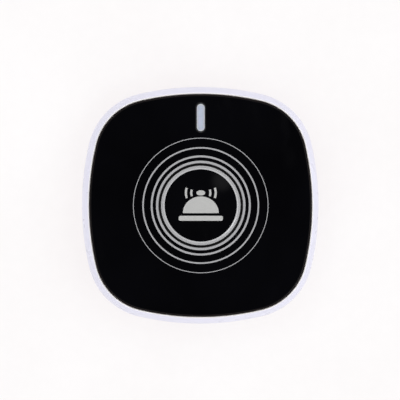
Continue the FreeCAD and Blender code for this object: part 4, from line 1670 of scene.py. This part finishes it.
@dataclass
class TactileSwitch(SubAssembly):
    """The switch under the cap, which keeps its solids."""

    solids: ClassVar[Mapping[str, Finish]] = {
        "switch_body": SpeckledSolid("switch_black", (0.018, 0.018, 0.019), 0.55, 0.1),
        "switch_plate": WorkedMetal("switch_plate_steel", (0.64, 0.64, 0.63), 0.26, Grain.DRAWN),
        "switch_plunger": SpeckledSolid("plunger_white", (0.72, 0.72, 0.69), 0.38, 0.12),
        "switch_pins": WorkedMetal("tinned_pin", (0.66, 0.66, 0.64), 0.30, Grain.DRAWN),
    }


def row(x: float, y: float, pitch: float, count: int) -> list[tuple[float, float, bool]]:
    """Places of a row of small parts that stand across the board's width."""
    return [(x + pitch * k, y, True) for k in range(count)]


@dataclass(frozen=True)
class SmallPart:
    """A kind of surface-mounted part, and the x and y of each, and whether it stands across the board."""

    name: str
    node: str
    slot: Slot
    height: float
    body: Finish
    places: Sequence[tuple[float, float, bool]]


@dataclass
class CircuitBoard(SubAssembly):
    """The board with its print, solder, chips, small parts, crystal can and spring antenna."""

    under: float = 9.7
    top: float = 10.7
    controller: Flat = (24.0, 7.0)
    radio: Flat = (-24.0, 7.0)
    crystal: Flat = (-24.0, -8.0)
    leg_rows: tuple[tuple[Flat, int, float], ...] = ((controller, 4, 1.27), (radio, 5, 1.0))
    leg_reach: float = 2.95
    leg_drop: Flat = (0.3, 0.2)
    pin_place: Flat = (4.5, 2.25)
    pin_drop: Flat = (0.5, 0.28)
    pad_radius: float = 8.2
    pad_deg: float = 60.0
    pad_drop: Flat = (1.3, 0.5)
    tab_x: float = -11.9
    tab_drop: Flat = (1.2, 0.45)
    antenna_y: float = -22.5
    antenna_half: float = 7.2
    antenna_radius: float = 2.0
    antenna_wire: float = 0.6
    antenna_run: Flat = (6.0, 2.4)
    antenna_gap: float = 0.9
    antenna_root: float = 0.1
    antenna_drop: Flat = (0.75, 0.6)
    print_line: float = 0.16
    print_thickness: float = 0.02
    print_root: float = 0.01
    frames: tuple[tuple[Flat, Flat], ...] = (
        (controller, (6.0, 7.4)), (radio, (6.0, 7.4)), (crystal, (5.8, 12.4)),
        ((0.0, antenna_y), (18.0, 6.2)), ((22.8, 13.0), (9.4, 3.0)), ((-23.8, 13.0), (7.2, 3.0)),
    )
    small_size: Flat = (2.0, 1.25)
    small_end: float = 0.42
    small_edge: float = 0.07
    small_inset: float = 0.03
    small_overlap: float = 0.05
    small_parts: tuple[SmallPart, ...] = (
        SmallPart(
            "resistor_bodies", "chip_resistors", Slot.RESISTOR, 0.5,
            SpeckledSolid("resistor_glaze", (0.02, 0.02, 0.023), 0.35, 0.12),
            (*row(19.5, 13.0, 2.2, 4), *row(-26.0, 13.0, 2.2, 3)),
        ),
        SmallPart(
            "capacitor_bodies", "chip_capacitors", Slot.CAPACITOR, 1.1,
            SpeckledSolid("capacitor_ceramic", (0.36, 0.23, 0.13), 0.5, 0.12),
            (
                (24.0, 0.5, False), (19.8, 0.5, False), (-18.5, 1.5, True),
                *row(13.5, -21.5, 3.0, 2), (-13.5, -21.5, True),
            ),
        ),
    )

    epoxy: ClassVar[Colour] = (0.016, 0.016, 0.017)
    solids: ClassVar[Mapping[str, Finish]] = {
        "circuit_board": BoardLaminate("board_laminate", (0.010, 0.085, 0.030), 0.30),
        "controller_chip": ChipPackage("controller_chip_package", epoxy, 0.58, centre=controller),
        "radio_chip": ChipPackage("radio_chip_package", epoxy, 0.58, centre=radio),
        "crystal_can": WorkedMetal("crystal_can_nickel", (0.62, 0.61, 0.57), 0.24, Grain.DRAWN),
    }

    def soldered(self, kind: SmallPart) -> Shape:
        """Makes the small parts of one kind, hanging under the board, with tinned ends.

        Args:
            kind: which parts.

        Returns:
            The parts, their bodies and ends in two material slots.
        """
        (length, width), end, foot = self.small_size, self.small_end, self.under - kind.height
        middle = (length - 2 * (end - self.small_overlap), width - 2 * self.small_inset)
        group = Shape()
        for x, y, upright in kind.places:
            part = Shape.block(*middle, foot + self.small_inset, self.under)
            for side in (-1, 1):
                cap = Shape.block(end, width, foot, self.under)
                cap.softened(lambda p: True, self.small_edge, segments=2).painted(1)
                part.added([cap.moved(side * (length - end) / 2)])
            group.added([part.rotated("Z", 90.0 if upright else 0.0).moved(x, y)])
        return group

    def solder(self) -> Shape:
        """The solder at each leg, pin and end.

        Returns:
            The drops.
        """
        drops = []
        for (x, y), pins, pitch in self.leg_rows:
            for k in range(pins):
                for side in (-1, 1):
                    along, across = x + (k - (pins - 1) / 2) * pitch, y + side * self.leg_reach
                    drops.append(Shape.ball(*self.leg_drop).moved(along, across, self.under))
        for x in (-self.pin_place[0], self.pin_place[0]):
            for y in (-self.pin_place[1], self.pin_place[1]):
                drops.append(Shape.ball(*self.pin_drop).moved(x, y, self.top))
        for x in (-self.antenna_half, self.antenna_half):
            drops.append(Shape.ball(*self.antenna_drop, segments=20).moved(x, self.antenna_y, self.under))
        pad = math.radians(self.pad_deg)
        pad_x, pad_y = self.pad_radius * math.cos(pad), self.pad_radius * math.sin(pad)
        drops.append(Shape.ball(*self.pad_drop, segments=20).moved(pad_x, pad_y, self.under))
        drops.append(Shape.ball(*self.tab_drop, segments=20).moved(self.tab_x, 0.0, self.under))
        return Shape().added(drops)

    def outlines(self) -> Shape:
        """The white part outlines printed under the board.

        Returns:
            The print.
        """
        frames = []
        for (x, y), size in self.frames:
            sheet = Shape.sheet(*size)
            inner = sheet.bm.faces[:]
            bmesh.ops.inset_region(
                sheet.bm, faces=inner, thickness=self.print_line, use_boundary=True, use_even_offset=True,
            )
            bmesh.ops.delete(sheet.bm, geom=inner, context="FACES")
            sheet.moved(x, y, self.under - self.print_thickness)
            frames.append(sheet.raised(self.print_thickness + self.print_root))
        return Shape().added(frames)

    def antenna(self) -> Shape:
        """The lying coil with both ends turned up into the board.

        Returns:
            The wire.
        """
        half_wire, middle = self.antenna_wire / 2, self.under - self.antenna_radius - self.antenna_gap
        knee_z = middle + self.antenna_radius
        coil = Shape.coiled(
            self.antenna_radius, self.antenna_wire, [self.antenna_run], sides=14, per_turn=48,
        )
        coil.rotated("Y", -90.0).moved(self.antenna_half, self.antenna_y, middle)
        ends = []
        for x in (-self.antenna_half, self.antenna_half):
            post = Shape.hoop(0.0, half_wire, knee_z - self.antenna_root, self.under, steps=14)
            knee = Shape.ball(half_wire, half_wire, segments=14).moved(z=knee_z)
            ends += [post.moved(x, self.antenna_y), knee.moved(x, self.antenna_y)]
        return coil.added(ends)

    def build(self) -> None:
        """Makes the board's small parts, solder, print and antenna."""
        tin = WorkedMetal("tinned_end", (0.68, 0.68, 0.66), 0.28)
        for kind in self.small_parts:
            self.soldered(kind).piece(kind.name, Body.CASE, [kind.body, tin], kind.slot, [kind.node])
        solder = WorkedMetal("solder", (0.66, 0.66, 0.65), 0.20)
        self.solder().piece("solder_joints", Body.CASE, [solder], Slot.CONTACT)
        white = SpeckledSolid("board_print_white", (0.74, 0.74, 0.72), 0.5, 0.1)
        self.outlines().piece("board_print", Body.CASE, [white])
        copper = WorkedMetal("enamelled_copper", (0.72, 0.32, 0.13), 0.24, tarnish=(0.38, 0.15, 0.07))
        self.antenna().piece("antenna_coil", Body.CASE, [copper], Slot.ANTENNA, ["spring_antenna"])


@dataclass
class CoinCell(SubAssembly):
    """The coin cell and the two leaf contacts that touch it, which keep their solids."""

    nickel: ClassVar[Finish] = WorkedMetal("cell_nickel_steel", (0.66, 0.65, 0.62), 0.27, Grain.TURNED)
    strip: ClassVar[Finish] = WorkedMetal("contact_strip", (0.70, 0.67, 0.60), 0.26, Grain.DRAWN)
    solids: ClassVar[Mapping[str, Finish]] = {
        "cell_can": nickel,
        "cell_lid": nickel,
        "cell_ring": SpeckledSolid("cell_seal_plastic", (0.03, 0.03, 0.032), 0.5, 0.1),
        "negative_contact": strip,
        "positive_contact": strip,
    }


@dataclass
class BatteryDoor(SubAssembly):
    """The bayonet door with its moulded pointer and rubber seal."""

    solids: ClassVar[Mapping[str, Finish]] = {
        "battery_door": MouldedPlastic(
            "door_white", (0.735, 0.735, 0.85), 0.33, held=(0.0, 1.0), scuff_share=0.5,
        ),
        "door_seal": SoftRubber("seal_rubber", (0.05, 0.05, 0.055), 0.5),
    }

    face: float = 0.9
    pointer: float = 1.7
    pointer_radius: float = 14.2
    pointer_deg: float = 115.0
    depth: float = 0.3
    root: float = 0.1

    def build(self) -> None:
        """Moulds the pointer that faces the lock marks."""
        pointer = Shape.disc(self.pointer, segments=3).rotated("Z", -90.0)
        pointer.moved(z=self.face - self.depth).raised(self.depth + self.root)
        pointer.moved(self.pointer_radius).rotated("Z", self.pointer_deg)
        white = MouldedPlastic("moulded_pointer_white", (0.71, 0.71, 0.82), 0.32)
        pointer.piece("door_pointer", Body.DOOR, [white], Slot.HOUSING)


# ================================================================ studio
class SkyGraph(Nodes):
    """The nodes that say how bright the surroundings are in each direction."""

    def __init__(self, world: bpy.types.World) -> None:
        """Starts the nodes of this world."""
        super().__init__(world)
        self.direction = self.add("ShaderNodeTexCoord").outputs["Generated"]

    def towards(self, aim: Point) -> Socket:
        """Cosine of the angle from a direction of length 1."""
        fed = {0: self.direction, 1: aim}
        return self.add("ShaderNodeVectorMath", fed, operation="DOT_PRODUCT").outputs["Value"]

    def levels(self, value: Socket, stops: Sequence[Flat]) -> Socket:
        """Brightness by position.

        Args:
            value: the position, 0 to 1.
            stops: (position, brightness) pairs in order.

        Returns:
            The brightness's socket.
        """
        node = self.add("ShaderNodeValToRGB", {0: value})
        brightest = max(level for _, level in stops)
        elements = node.color_ramp.elements
        while len(elements) < len(stops):
            elements.new(0.5)
        for element, (position, level) in zip(elements, stops):
            element.position = position
            element.color = (level / brightest,) * 3 + (1.0,)
        return self.times(node.outputs["Color"], brightest)

    def shine(self, brightness: Socket) -> None:
        """Lights the world by this brightness."""
        light = self.add("ShaderNodeBackground", {"Strength": brightness})
        self.add("ShaderNodeOutputWorld", {"Surface": light.outputs[0]})


@dataclass(frozen=True)
class Lamp:
    """A soft round lamp in the surroundings, in degrees."""

    azimuth: float
    zenith: float
    radius: float
    level: float

    def aim(self) -> Point:
        """The direction in which it stands."""
        tilt, turn = math.radians(self.zenith), math.radians(self.azimuth)
        return math.sin(tilt) * math.cos(turn), math.sin(tilt) * math.sin(turn), math.cos(tilt)

    def rim(self) -> float:
        """Cosine of the angle at which it fades out."""
        return math.cos(math.radians(self.radius))


@dataclass
class Studio(SubAssembly):
    """A plain pale floor, a soft sky that is dark overhead, three lamps, and a camera near the zenith."""

    eye: Point = (-9.0, 4.5, 566.6)
    aim: Point = (-0.26, 1.87, 16.6)
    half_view: float = 7.07
    sensor: float = 36.0
    clip: Flat = (0.01, 20.0)
    floor_size: float = 6000.0
    floor: Finish = SpeckledSolid(
        "floor_paper", (0.16, 0.20, 0.21), 0.9, speckle=4.0, pores=0.0, depth=0.0, glow=(0.778, 0.71, 0.699),
    )
    upper: Flat = (0.41, 0.55)
    sky: tuple[Flat, ...] = (
        (0.0, 0.95), (0.11, 0.95), (0.17, 0.36), (0.41, 0.36), (0.55, 2.26), (0.866, 2.26), (0.93, 0.28),
        (0.982, 0.0),
    )
    key_azimuth: float = 5.0
    key_share: float = 0.04
    lamps: tuple[Lamp, ...] = (
        Lamp(42.0, 8.1, 3.0, 0.45), Lamp(5.0, 48.0, 18.0, 1.4), Lamp(-34.0, 32.0, 11.0, 2.9),
    )

    def set_sky(self) -> None:
        """Makes the soft light by height above the horizon, stronger on the key side, and adds the lamps."""
        world = bpy.data.worlds.new("studio_sky")
        bpy.context.scene.world = world
        sky = SkyGraph(world)
        side = math.radians(self.key_azimuth)
        height = sky.towards(UP)
        light = sky.levels(height, self.sky)
        key = sky.times(sky.towards((math.cos(side), math.sin(side), 0.0)), self.key_share)
        light = sky.maths("MULTIPLY_ADD", sky.times(key, sky.ramp(height, *self.upper)), light, light)
        for lamp in self.lamps:
            shape = sky.ramp(sky.towards(lamp.aim()), lamp.rim(), 1.0)
            light = sky.maths("MULTIPLY_ADD", shape, lamp.level, light)
        sky.shine(light)

    def set_camera(self) -> None:
        """Puts the camera over the button, the top of its picture towards +Y."""
        lens = bpy.data.cameras.new("camera")
        lens.sensor_width = self.sensor
        lens.lens = self.sensor / 2 / math.tan(math.radians(self.half_view))
        lens.clip_start, lens.clip_end = self.clip
        camera = bpy.data.objects.new("camera", lens)
        bpy.context.scene.collection.objects.link(camera)
        back = (Vector(self.eye) - Vector(self.aim)).normalized()
        right = Vector((0, 1, 0)).cross(back).normalized()
        facing = Matrix((right, back.cross(right), back)).transposed().to_4x4()
        camera.matrix_world = Matrix.Translation(Vector(self.eye) * MM) @ facing
        bpy.context.scene.camera = camera

    def build(self) -> None:
        """Sets up the floor, the sky and the camera."""
        floor = Shape.sheet(self.floor_size * MM, self.floor_size * MM).placed("floor", [self.floor])
        self.set_sky()
        self.set_camera()

    def dress(self) -> None:
        """Shows colours as they are lit."""
        bpy.context.scene.view_settings.view_transform = "Standard"


def main() -> None:
    """Builds and dresses each sub-assembly in order."""
    logging.basicConfig(level=logging.INFO, format="%(message)s")
    assemblies = (
        Studio(), Housing(), RubberFeet(), FrontPanel(), SignalWindow(), CallCap(), ReturnSpring(),
        TactileSwitch(), CircuitBoard(), CoinCell(), BatteryDoor(),
    )
    for assembly in assemblies:
        assembly.build()
        assembly.dress()
        LOG.info("%s done", type(assembly).__name__)
    bpy.context.view_layer.update()


if __name__ == "__main__":
    main()
